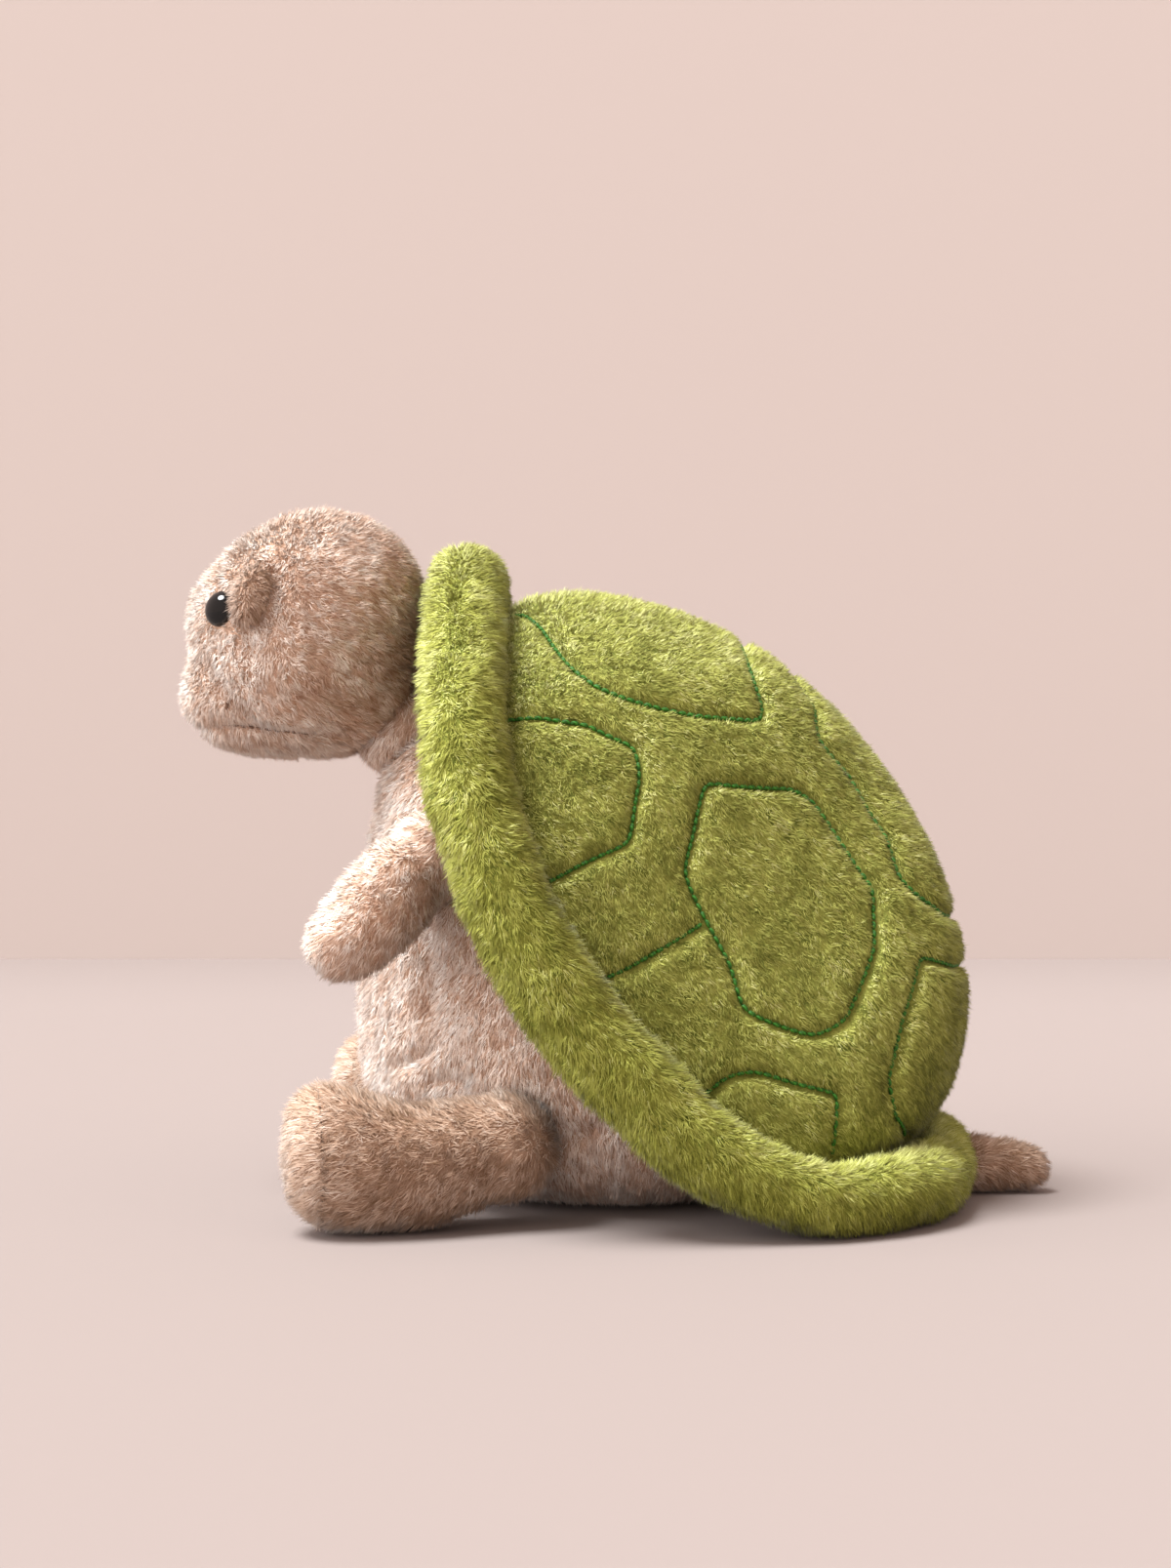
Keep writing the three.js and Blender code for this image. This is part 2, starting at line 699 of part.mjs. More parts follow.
function lidForm(side) {
  const place = headSurface(lidHeightShare, lidTurn, side);
  const pad = pulledBall(smallSides, smallRings, (along, sideways, upward) => {
    const full = Math.sqrt(1 - along * along);
    return new THREE.Vector3(
      lidHalfWidth * full * sideways,
      lidHalfHeight * along,
      lidHalfThickness * full * upward,
    );
  });
  return solidOf(facing(pad, place));
}

function mouthRoute() {
  const heightAt = shareCurve(mouthHeightShares);
  const points = [];
  for (let station = 0; station < mouthStations; station += 1) {
    const share = station / (mouthStations - 1);
    const turn = (share * 2 - 1) * mouthTurn;
    const { point, normal } = headSurface(heightAt(share), Math.abs(turn), Math.sign(turn) || 1);
    points.push(point.addScaledVector(normal, threadRadius + fitGap));
  }
  return new THREE.CatmullRomCurve3(points);
}

function nostrilStitch(side) {
  const place = headSurface(nostrilHeightShare, nostrilTurn, side);
  place.point.addScaledVector(place.normal, threadRadius + fitGap);
  const straight = 2 * (nostrilHalfLength - threadRadius);
  const stitch = new THREE.CapsuleGeometry(threadRadius, straight, stitchCapSteps, threadSides);
  return solidOf(facing(weld(stitch), place));
}

// Assembly

const group = new THREE.Group();

function bodyGroup(pivot) {
  const inner = new THREE.Group();
  inner.position.copy(pivot);
  group.add(inner);
  return inner;
}

function addPiece(parent, name, solid, material) {
  const geometry = geometryOf(solid);
  geometry.translate(-parent.position.x, -parent.position.y, -parent.position.z);
  geometry.computeVertexNormals();
  const mesh = new THREE.Mesh(geometry, material);
  mesh.name = name;
  parent.add(mesh);
}

const torso = bodyGroup(new THREE.Vector3());
const neck = bodyGroup(neckPivot);
const head = bodyGroup(neckPivot);
const sides = [['left', -1], ['right', 1]];

const arms = sides.map(([label, side]) => ({ label, ...armPieces(side) }));
const legs = sides.map(([label, side]) => ({ label, ...legPieces(side) }));

const neckRoom = roomAround(neckPivot, neckRadius, neckSides, neckRings);
const sockets = [...arms, ...legs].map((limb) => limb.socket);

// Body bag, its filling and the pellet bag at the bottom of it
const bodyOuter = bodyForm(outerSides, outerRings);
const bodyInner = bodyForm(innerSides, innerRings);
const headSpace = headRoom();
const bodyCuts = [headSpace, neckRoom, ...sockets];
const bodyBag = solidOf(bodyOuter).trimByPlane([0, 0, 1], 0).subtract(solidOf(inset(bodyInner, pileDepth)));
addPiece(torso, 'body_skin', cutBy(bodyBag, bodyCuts), taupePlush());

const bodyLump = solidOf(inset(bodyInner, pileDepth + fitGap));
const pelletCentre = new THREE.Vector3(0, 0, pileDepth);
function pelletForm(clearance) {
  return pulledBall(smallSides, smallRings, (along, sideways, upward) => {
    const full = Math.sqrt(1 - along * along);
    return new THREE.Vector3(
      pelletCentre.x + (pelletHalfDepth + clearance) * full * upward,
      (pelletHalfWidth + clearance) * full * sideways,
      pelletCentre.z + (pelletHeight + clearance) * along,
    );
  });
}
const pelletBag = solidOf(pelletForm(0)).intersect(bodyLump);
addPiece(torso, 'seat_pellet_bag', pelletBag, pelletCloth());
addPiece(torso, 'body_filling', cutBy(bodyLump, [solidOf(pelletForm(fitGap)), ...bodyCuts]), fibre());

// Neck filling
addPiece(neck, 'neck_filling', solidOf(ballAt(neckPivot, neckRadius, neckSides, neckRings)), fibre());

// Head bag, filling and face
const headInner = headForm(innerSides, innerRings);
const eyes = sides.map(([label, side]) => ({ label, side, ...eyePieces(side) }));
const pockets = eyes.map((eye) => eye.pocket);
const headOuter = solidOf(headForm(outerSides, outerRings));
const headBag = headOuter.subtract(solidOf(inset(headInner, pileDepth)));
addPiece(head, 'head_skin', cutBy(headBag, [neckRoom, ...pockets]), taupePlush());
const headLump = solidOf(inset(headInner, pileDepth + fitGap));
const washerRooms = eyes.map((eye) => eye.washerRoom);
addPiece(head, 'head_filling', cutBy(headLump, [neckRoom, ...pockets, ...washerRooms]), fibre());
const headTouch = solidOf(inset(headForm(outerSides, outerRings), -fitGap));
for (const eye of eyes) {
  addPiece(head, `eye_${eye.label}`, eye.eye, blackPlastic());
  addPiece(head, `eye_washer_${eye.label}`, eye.washer, whitePlastic());
  addPiece(head, `eyelid_${eye.label}`, cutBy(lidForm(eye.side), [headTouch, eye.pocket]), browPlush());
  addPiece(head, `nostril_thread_${eye.label}`, nostrilStitch(eye.side), brownThread());
}
const mouth = mouthRoute();
const mouthCord = cordAlong(mouth, threadRadius, threadSides, mouthStepCount);
addPiece(head, 'mouth_thread', solidOf(mouthCord), brownThread());

// Limbs
for (const arm of arms) {
  const limb = bodyGroup(arm.pivot);
  addPiece(limb, `arm_skin_${arm.label}`, arm.bag, taupePlush());
  addPiece(limb, `arm_filling_${arm.label}`, arm.filling, fibre());
}
for (const leg of legs) {
  const limb = bodyGroup(leg.pivot);
  addPiece(limb, `leg_skin_${leg.label}`, leg.bag, taupePlush());
  addPiece(limb, `sole_${leg.label}`, leg.sole, taupePlush());
  addPiece(limb, `leg_filling_${leg.label}`, leg.filling, fibre());
}

// Tail, rooted in the back of the rim
const rimRear = rimRoute.getPoint(0.5);
const rimRearRadius = rimRadius * rimRollShares.at(-1);
const tailPivot = new THREE.Vector3(rimRear.x + rimRearRadius - tailRootSink, 0, tailRadius - flatDepth);
const tailTip = new THREE.Vector3(tailPivot.x + tailReach, 0, tailPivot.z);
const tailWideAt = shareCurve(tailWideShares.map((share) => share * tailRadius));
const tailLimb = {
  route: new THREE.LineCurve3(rootOf(tailPivot, tailTip, tailRadius), tailTip),
  wideAt: tailWideAt,
  tallAt: tailWideAt,
  fullness: tailFullness,
  level: true,
};
const tailOpening = { normal: [1, 0, 0], offset: tailPivot.x - tailRootDepth };
const tailPieces = bagAndFilling(tailLimb, tailPivot, tailRadius, tailOpening, tailPileDepth);
const tail = bodyGroup(tailPivot);
addPiece(tail, 'tail_skin', tailPieces.bag, taupePlush());
addPiece(tail, 'tail_filling', tailPieces.filling, fibre());
const tailNotch = { normal: [1, 0, 0], offset: tailPivot.x - tailSocketDepth };
const tailRoom = socketFor(tailPivot, tailRadius, tailNotch);

// Shell cover with its quilting channels, lining and filling
const bodyTouch = solidOf(inset(bodyOuter, -fitGap));
const channelOver = channelRadius - channelDepth;
const channels = seams.map((seam) => seamCord(seam, channelOver, channelRadius, channelSides));
const coverOuter = solidOf(domeForm(shellSides, shellRings, 0, coverLip));
const liningForm = domeForm(liningSides, liningRings, coverThickness + fitGap, mouthDepth);
const coverHollow = solidOf(inset(liningForm, -fitGap));
const rimTouch = solidOf(inset(rimForm(rimSides, 0), -fitGap));
const coverCuts = [coverHollow, bodyTouch, rimTouch, ...channels];
addPiece(torso, 'shell_cover', cutBy(coverOuter, coverCuts), greenPlush());

const liningHollow = solidOf(inset(liningForm, liningThickness));
addPiece(torso, 'shell_lining', cutBy(solidOf(liningForm), [liningHollow, bodyTouch]), liningCloth());
const stuffing = solidOf(inset(liningForm, liningThickness + fillingGap));
addPiece(torso, 'shell_filling', stuffing.subtract(bodyTouch), fibre());

// Rim roll: a bag with a short slit towards the dome, where it was turned and filled
const rimOuter = solidOf(rimForm(rimSides, 0)).trimByPlane([0, 0, 1], 0);
const rimHollow = solidOf(rimForm(rimSides, pileDepth));
const slit = new THREE.CylinderGeometry(rimSlitRadius, rimSlitRadius, rimRadius, smallSides);
slit.rotateZ(Math.PI / 2);
slit.translate(rimRear.x - rimRadius / 2, 0, rimRear.z);
const rimBag = rimOuter.subtract(rimHollow).subtract(solidOf(weld(slit)));
addPiece(torso, 'shell_rim', cutBy(rimBag, [bodyTouch, headSpace, tailRoom]), limePlush());
const rimLump = solidOf(rimForm(rimSides, pileDepth + fitGap));
addPiece(torso, 'rim_filling', cutBy(rimLump, [bodyTouch, headSpace, tailRoom]), fibre());

// Threads that hold the quilting
const flatShare = Math.cos(Math.PI / channelSides);
const threadOver = channelOver - channelRadius * flatShare + threadRadius + fitGap;
for (const seam of seams) {
  const thread = seamCord(seam, threadOver, threadRadius, threadSides);
  addPiece(torso, seam.name, thread.subtract(rimTouch), greenThread());
}

export default group;
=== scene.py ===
"""Seated plush turtle, dressed for its studio photograph.

Lengths are in millimetres until a mesh is made; colours are sRGB hex until a shader takes them.
"""

import itertools
import logging
import math
from collections.abc import Callable, Sequence
from dataclasses import dataclass, replace
from enum import Enum

import bpy
import numpy as np
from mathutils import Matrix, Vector
from mathutils.bvhtree import BVHTree


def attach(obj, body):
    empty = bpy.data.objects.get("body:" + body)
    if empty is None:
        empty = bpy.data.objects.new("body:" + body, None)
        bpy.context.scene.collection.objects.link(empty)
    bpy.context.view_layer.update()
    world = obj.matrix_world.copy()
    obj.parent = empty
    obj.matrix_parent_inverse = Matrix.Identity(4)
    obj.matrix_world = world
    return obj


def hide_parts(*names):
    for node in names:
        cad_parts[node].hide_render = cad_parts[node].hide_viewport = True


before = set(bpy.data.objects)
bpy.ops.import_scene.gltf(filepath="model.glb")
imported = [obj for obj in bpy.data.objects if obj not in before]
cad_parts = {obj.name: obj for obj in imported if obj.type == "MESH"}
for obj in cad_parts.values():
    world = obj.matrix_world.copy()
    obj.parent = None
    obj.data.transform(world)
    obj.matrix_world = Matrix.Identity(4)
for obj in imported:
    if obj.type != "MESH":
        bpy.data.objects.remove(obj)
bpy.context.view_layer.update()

log = logging.getLogger("plush_turtle")

MM = 0.001
SEED = 20260412
PHOTO_HEIGHT = 1607
TINY = 1e-9

UP = np.array([0.0, 0.0, 1.0])
BACK = np.array([1.0, 0.0, 0.0])

Points = np.ndarray
PlaceTest = Callable[[Points], np.ndarray]
NapField = Callable[[Points, Points], Points]
BallPlace = Callable[[np.ndarray, np.ndarray], Points]


class Side(Enum):
    """The turtle's two sides; the value is the sign of Y."""

    LEFT = -1
    RIGHT = 1

    @property
    def label(self) -> str:
        """The side's name as the frame's nodes and bodies write it."""
        return self.name.lower()


# Numbers


def unit(vectors: Points) -> Points:
    """Scales each row of vectors to length one; a zero row stays zero."""
    lengths = np.linalg.norm(vectors, axis=-1, keepdims=True)
    return vectors / np.where(lengths < TINY, 1.0, lengths)


def smooth_step(low: float, high: float, values: np.ndarray) -> np.ndarray:
    """Rises smoothly from 0 to 1 while the values go from low to high."""
    share = np.clip((values - low) / (high - low), 0.0, 1.0)
    return share * share * (3.0 - 2.0 * share)


def full_turn(count: int) -> np.ndarray:
    """Even angles round a circle, in radians."""
    return np.arange(count) / count * 2 * math.pi


def cubic_run(
    here: np.ndarray, after: np.ndarray, rise_here: np.ndarray, rise_after: np.ndarray, part: np.ndarray
) -> np.ndarray:
    """One smooth run between two values.

    Args:
        here: The value at its start.
        after: The value at its end.
        rise_here: The slope at its start.
        rise_after: The slope at its end.
        part: Where to read it, from 0 to 1.

    Returns:
        The value at each place.
    """
    return (
        (2 * here - 2 * after + rise_here + rise_after) * part**3
        + (-3 * here + 3 * after - 2 * rise_here - rise_after) * part**2
        + rise_here * part
        + here
    )


def share_curve(shares: Sequence[float], place: np.ndarray) -> np.ndarray:
    """Reads a row of shares, spread evenly from one end to the other, as a smooth curve.

    Args:
        shares: The values along the row.
        place: Where to read it, from 0 to 1.

    Returns:
        The value at each place.
    """
    row = np.asarray(shares, float)
    last = len(row) - 1
    position = np.clip(place, 0.0, 1.0) * last
    start = np.minimum(np.floor(position).astype(int), last - 1)
    before, here = row[np.maximum(start - 1, 0)], row[start]
    after, beyond = row[start + 1], row[np.minimum(start + 2, last)]
    return cubic_run(here, after, (after - before) / 2, (beyond - here) / 2, position - start)


def closed_curve(corners: Points, place: np.ndarray) -> Points:
    """Reads a closed route through corners.

    Args:
        corners: The corners in order; the last joins the first.
        place: Where to read it; whole numbers are one round.

    Returns:
        A point for each place.
    """
    count = len(corners)
    position = np.mod(place, 1.0) * count
    start = np.floor(position).astype(int)
    part = (position - start)[..., None]
    before, here, after, beyond = (corners[(start + step) % count] for step in (-1, 0, 1, 2))
    return cubic_run(here, after, (after - before) / 2, (beyond - here) / 2, part)


def resampled(points: Points, spacing: float) -> Points:
    """Points at even steps along a route of straight runs.

    Args:
        points: The route's points in order.
        spacing: About how far apart the new points lie, in millimetres.

    Returns:
        The new points, from the route's first to its last.
    """
    runs = np.linalg.norm(np.diff(points, axis=0), axis=1)
    travelled = np.concatenate([[0.0], np.cumsum(runs)])
    steps = max(2, round(travelled[-1] / spacing))
    wanted = np.linspace(0.0, travelled[-1], steps + 1)
    return np.stack([np.interp(wanted, travelled, points[:, axis]) for axis in range(3)], axis=1)


CELL_PRIMES = np.array([73856093, 19349663, 83492791])
SEED_STEP = 1013
MIXERS = ((13, 1274126177), (16, 668265263))
POSITIVE = 0x7FFFFFFF
LOW_BITS = 8
VALUES = 0xFFFF


def value_noise(points: Points, size: float, seed: int) -> np.ndarray:
    """Smooth random field.

    Args:
        points: Where to read it, in millimetres.
        size: The distance between its hills, in millimetres.
        seed: Which field of many.

    Returns:
        A value from -1 to 1 at each point.
    """
    scaled = points / size
    cell = np.floor(scaled).astype(np.int64)
    part = scaled - cell
    part = part * part * (3 - 2 * part)
    total = np.zeros(len(points))
    for corner in itertools.product((0, 1), repeat=3):
        mixed = np.bitwise_xor.reduce((cell + np.array(corner)) * CELL_PRIMES, axis=1)
        mixed = (mixed ^ (seed * int(CELL_PRIMES[2]) + SEED_STEP)) & POSITIVE
        for shift, mixer in MIXERS:
            mixed = ((mixed ^ (mixed >> shift)) * mixer) & POSITIVE
        value = (mixed >> LOW_BITS & VALUES) / (VALUES / 2) - 1.0
        weights = np.where(np.array(corner) == 1, part, 1 - part)
        total += value * weights.prod(axis=1)
    return total


def noise_vectors(points: Points, size: float, seed: int) -> Points:
    """Three smooth random fields as one field of vectors; see value_noise."""
    return np.stack([value_noise(points, size, seed + axis) for axis in range(3)], axis=1)


def turned_about(points: Points, pivot: Points, axis: Points, degrees: float) -> Points:
    """Turns points about a line.

    Args:
        points: Rows of points.
        pivot: A point on the line.
        axis: The line's direction, one long.
        degrees: How far, by the right-hand rule.

    Returns:
        The turned points.
    """
    angle = math.radians(degrees)
    arm = points - pivot
    along = (arm @ axis)[:, None] * axis
    turned = arm * math.cos(angle) + np.cross(axis, arm) * math.sin(angle)
    return pivot + turned + along * (1 - math.cos(angle))


# Surfaces


@dataclass
class Surface:
    """A mesh in numbers: points in millimetres, and faces of three or four corners."""

    points: Points
    faces: list[tuple[int, ...]]

    def triangles(self) -> tuple[np.ndarray, Points]:
        """Splits the faces.

        Returns:
            Rows of three corners, and each row's outward direction, as long as twice its area.
        """
        rows = []
        for face in self.faces:
            rows.append(face[:3])
            if len(face) == 4:
                rows.append((face[0], face[2], face[3]))
        corners = np.array(rows)
        first, second, third = (self.points[corners[:, k]] for k in range(3))
        return corners, np.cross(second - first, third - first)

    def normals(self) -> Points:
        """Averages the faces round each point.

        Returns:
            One outward direction for each point.
        """
        corners, facing = self.triangles()
        total = np.zeros_like(self.points)
        for k in range(3):
            np.add.at(total, corners[:, k], facing)
        return unit(total)

    def outward(self) -> "Surface":
        """The same surface with every face looking out."""
        corners, facing = self.triangles()
        if (self.points[corners[:, 0]] * facing).sum() < 0:
            self.faces = [face[::-1] for face in self.faces]
        return self

    def moved(self, offsets: np.ndarray | float) -> "Surface":
        """A copy with each point moved along its normal by its offset, in millimetres."""
        return Surface(self.points + self.normals() * np.reshape(offsets, (-1, 1)), self.faces)


def capped_faces(rings: int, sides: int) -> list[tuple[int, ...]]:
    """Faces of a tube of rings whose ends close on the two points after the last ring.

    Args:
        rings: How many rings of points.
        sides: Points round each ring.

    Returns:
        The tube's faces, ring by ring, and then the ends' faces.
    """
    faces: list[tuple[int, ...]] = []
    for low in range(0, (rings - 1) * sides, sides):
        for side in range(sides):
            after = (side + 1) % sides
            faces.append((low + side, low + after, low + sides + after, low + sides + side))
    first, last = rings * sides, (rings - 1) * sides
    for side in range(sides):
        after = (side + 1) % sides
        faces.append((first, after, side))
        faces.append((first + 1, last + side, last + after))
    return faces


def ball_surface(place: BallPlace, rings: int, sides: int) -> Surface:
    """A closed surface from a unit ball.

    Args:
        place: Takes how far along the ball's axis each point is, from -1 to 1, and its angle round
            the axis, and answers the points.
        rings: Rows of faces from pole to pole.
        sides: Faces round each row.

    Returns:
        The surface, with its faces looking out.
    """
    polar = np.linspace(-math.pi / 2, math.pi / 2, rings + 1)[1:-1]
    along = np.append(np.repeat(np.sin(polar), sides), [-1.0, 1.0])
    bearing = np.append(np.tile(full_turn(sides), len(polar)), [0.0, 0.0])
    return Surface(place(along, bearing), capped_faces(len(polar), sides)).outward()


def pillow(centre: Points, halves: Sequence[float], axes: Points | None = None) -> BallPlace:
    """A rounded cushion's form, for ball_surface.

    Args:
        centre: Its middle.
        halves: Half its size along each of its axes, in millimetres.
        axes: Its three directions; the last is the ball's axis. Left out, they are X, Y and Z.

    Returns:
        The form.
    """
    ways = np.eye(3) if axes is None else axes

    def place(along: np.ndarray, bearing: np.ndarray) -> Points:
        """See ball_surface."""
        full = np.sqrt(np.maximum(1 - along**2, 0))
        ball = np.stack([full * np.cos(bearing), full * np.sin(bearing), along], axis=1)
        return centre + (ball * np.asarray(halves)) @ ways

    return place


def ring_surface(rows: Points) -> Surface:
    """Joins closed rings into a closed tube.

    Args:
        rows: Rings of points, as rings x sides x 3; the last ring joins the first.

    Returns:
        The surface, with its faces looking out.
    """
    rings, sides = rows.shape[:2]
    faces: list[tuple[int, ...]] = []
    for ring in range(rings):
        low, high = ring * sides, (ring + 1) % rings * sides
        for side in range(sides):
            after = (side + 1) % sides
            faces.append((low + side, low + after, high + after, high + side))
    return Surface(rows.reshape(-1, 3), faces).outward()


MEASURED_AT_ONCE = 4000


def nearest_line(points: Points, lines: Sequence[Points], reach: float) -> tuple[np.ndarray, Points]:
    """Finds the nearest place on any of several routes.

    Args:
        points: Where to measure from.
        lines: Routes of straight runs.
        reach: Distances beyond this aren't needed exactly.

    Returns:
        The distance, capped at reach, and the direction from the route to each point.
    """
    distance = np.full(len(points), reach)
    away = np.zeros_like(points)
    for line in lines:
        low = line.min(axis=0) - reach
        high = line.max(axis=0) + reach
        near = np.flatnonzero(((points > low) & (points < high)).all(axis=1))
        for chunk in np.array_split(near, max(1, len(near) // MEASURED_AT_ONCE)):
            if not len(chunk):
                continue
            start = line[:-1][None]
            run = (line[1:] - line[:-1])[None]
            arm = points[chunk][:, None] - start
            share = np.clip((arm * run).sum(-1) / np.maximum((run * run).sum(-1), TINY), 0, 1)
            gap = arm - share[..., None] * run
            lengths = np.linalg.norm(gap, axis=-1)
            best = lengths.argmin(axis=1)
            found = lengths[np.arange(len(chunk)), best]
            closer = found < distance[chunk]
            distance[chunk[closer]] = found[closer]
            away[chunk[closer]] = gap[np.arange(len(chunk)), best][closer]
    return distance, unit(away)


# Finishes


def linear_rgba(code: str) -> tuple[float, float, float, float]:
    """Turns an sRGB hex colour into the linear values that a shader takes.

    Args:
        code: Six hex digits, such as "c9ada0".

    Returns:
        Red, green, blue and a full alpha.
    """
    channels = (int(code[start : start + 2], 16) / 255 for start in (0, 2, 4))
    linear = [value / 12.92 if value <= 0.04045 else ((value + 0.055) / 1.055) ** 2.4 for value in channels]
    return (*linear, 1.0)


def add_node(
    tree: bpy.types.NodeTree,
    kind: str,
    settings: dict[str, object] | None = None,
    inputs: dict[str | int, object] | None = None,
) -> bpy.types.Node:
    """Adds one node with its settings and links.

    Args:
        tree: The node tree it goes into.
        kind: Blender's name for the node's type.
        settings: The node's own properties.
        inputs: Values for its sockets; an output socket here is linked instead.

    Returns:
        The new node.
    """
    node = tree.nodes.new(kind)
    for name, value in (settings or {}).items():
        setattr(node, name, value)
    for name, value in (inputs or {}).items():
        if isinstance(value, bpy.types.NodeSocket):
            tree.links.new(value, node.inputs[name])
        else:
            node.inputs[name].default_value = value
    return node


class FinishTree:
    """A new material's nodes: the few kinds that the finishes below are made of."""

    def __init__(self, name: str) -> None:
        """Makes an empty material by name."""
        self.material = bpy.data.materials.new(name)
        self.material.use_nodes = True
        self.tree = self.material.node_tree
        self.tree.nodes.clear()

    def pattern(
        self, kind: str, grain_mm: float, output: str = "Fac", **inputs: float
    ) -> bpy.types.NodeSocket:
        """Adds a texture over the piece's own space.

        Args:
            kind: Noise, Voronoi or Wave; a wave's bands run aslant.
            grain_mm: The real size of its grain.
            output: Which of its outputs is wanted.
            inputs: Its other inputs.

        Returns:
            The output.
        """
        place = add_node(self.tree, "ShaderNodeTexCoord").outputs["Object"]
        settings = {"bands_direction": "DIAGONAL"} if kind == "Wave" else None
        grain = {"Vector": place, "Scale": 1 / (grain_mm * MM)}
        return add_node(self.tree, f"ShaderNodeTex{kind}", settings, grain | inputs).outputs[output]

    def between(self, share: bpy.types.NodeSocket, low: str, high: str) -> bpy.types.NodeSocket:
        """Adds a colour between two dyes, by a share."""
        inputs = {0: share, 6: linear_rgba(low), 7: linear_rgba(high)}
        return add_node(self.tree, "ShaderNodeMix", {"data_type": "RGBA"}, inputs).outputs[2]

    def ranged(
        self, value: bpy.types.NodeSocket, ends: Sequence[float], span: Sequence[float] = (0.0, 1.0)
    ) -> bpy.types.NodeSocket:
        """Adds a value that runs from one end to the other while the given one runs over a span."""
        names = ("From Min", "From Max", "To Min", "To Max")
        inputs = {"Value": value, **dict(zip(names, (*span, *ends), strict=True))}
        return add_node(self.tree, "ShaderNodeMapRange", inputs=inputs).outputs["Result"]

    def raised(
        self, height: bpy.types.NodeSocket, relief_mm: float, strength: float
    ) -> bpy.types.NodeSocket:
        """Adds the normals of a relief with a real depth."""
        inputs = {"Strength": strength, "Distance": relief_mm * MM, "Height": height}
        return add_node(self.tree, "ShaderNodeBump", inputs=inputs).outputs["Normal"]

    def finished(self, inputs: dict[str, object]) -> bpy.types.Material:
        """Ends the tree in a surface shader with these inputs."""
        shader = add_node(self.tree, "ShaderNodeBsdfPrincipled", inputs=inputs)
        add_node(self.tree, "ShaderNodeOutputMaterial", inputs={"Surface": shader.outputs[0]})
        return self.material


@dataclass(frozen=True)
class PlushPile:
    """Polyester plush, combed and heat-set: matt at the root, with a soft sheen off its tips.

    The tufts themselves are meshes. Each takes one of these dye lots, so that the nap mottles in
    patches a few millimetres wide, as the real pile does where it is brushed both ways. How much
    paler the tips' lots are on faces that look along X, Y and Z is painted light and shade: lighter
    on the sides towards the lamps, darker on the far sides. Patches gives each kind of mottling's
    weight and size.
    """

    name: str
    dye_lots: tuple[str, ...]
    # Painted shade: the colour of the ground between the tufts, darker as though shaded by them.
    painted_root_shade: str
    sheen_dye: str
    # Painted light and shade along X, Y and Z: lots paler on faces towards the lamps, darker away.
    painted_light: tuple[float, float, float]
    sheen: float = 0.28
    sheen_roughness: float = 0.38
    gloss: float = 0.18
    tip_roughness: float = 0.85
    root_roughness: tuple[float, float] = (0.95, 0.75)
    strand_mm: float = 0.8
    strand_weight: float = 0.7
    strand_relief_mm: float = 0.5
    strand_relief: float = 0.5
    mottle_mm: float = 7.0
    mottle_span: tuple[float, float] = (0.6, 1.1)
    patches: tuple[tuple[float, float], ...] = ((0.3, 9.0), (0.42, 2.0))
    tuft_chance: float = 0.2

    def lustre(self) -> dict[str, object]:
        """The shader inputs that roots and tips share."""
        return {
            "Specular IOR Level": self.gloss,
            "Sheen Weight": self.sheen,
            "Sheen Roughness": self.sheen_roughness,
            "Sheen Tint": linear_rgba(self.sheen_dye),
        }

    def ground(self) -> bpy.types.Material:
        """Makes the finish of the dense pile under the tips.

        A real strand is about 0.03 mm thick; the grain is drawn at strand_mm, so that it shows.

        Returns:
            The material: strands' ends, mottled by the nap, with painted shade between them, darker towards
                the root colour.
        """
        finish = FinishTree(f"{self.name}_ground")
        strands = finish.pattern("Noise", self.strand_mm, Detail=2.0)
        nap = finish.pattern("Noise", self.mottle_mm, Detail=3.0)
        weighed = {0: strands, 1: self.strand_weight, 2: nap}
        both = add_node(finish.tree, "ShaderNodeMath", {"operation": "MULTIPLY_ADD"}, weighed).outputs[0]
        # The root colour is painted shade among the strands.
        share = finish.ranged(both, (0.0, 1.0), self.mottle_span)
        inputs = {
            "Base Color": finish.between(share, self.painted_root_shade, self.dye_lots[1]),
            "Roughness": finish.ranged(nap, self.root_roughness),
            "Normal": finish.raised(strands, self.strand_relief_mm, self.strand_relief),
        }
        return finish.finished(inputs | self.lustre())

    def materials(self) -> list[bpy.types.Material]:
        """Makes a material for each dye lot, darkest first."""
        made = []
        for index, dye in enumerate(self.dye_lots):
            inputs = {"Base Color": linear_rgba(dye), "Roughness": self.tip_roughness}
            made.append(FinishTree(f"{self.name}_{index + 1}").finished(inputs | self.lustre()))
        return made

    def lots(
        self, roots: Points, facing: Points, fields: Sequence[int], random: np.random.Generator
    ) -> np.ndarray:
        """Deals the dye lots out to tufts, with painted light and shade by the way that each faces.

        Args:
            roots: Where the tufts stand.
            facing: The outward directions there, which set the painted light and shade.
            fields: The number of each patch's random field.
            random: Where the chance comes from.

        Returns:
            Each tuft's dye lot, from 0 for the darkest.
        """
        mottle = np.zeros(len(roots))
        for (weight, size), field in zip(self.patches, fields, strict=True):
            mottle += weight * value_noise(roots, size, field)
        # Painted light and shade: tufts facing the lamps take paler lots, those facing away darker ones.
        mottle += random.normal(0, self.tuft_chance, len(roots)) + facing @ np.array(self.painted_light)
        count = len(self.dye_lots)
        return np.clip(((mottle + 1) / 2 * count).astype(int), 0, count - 1)


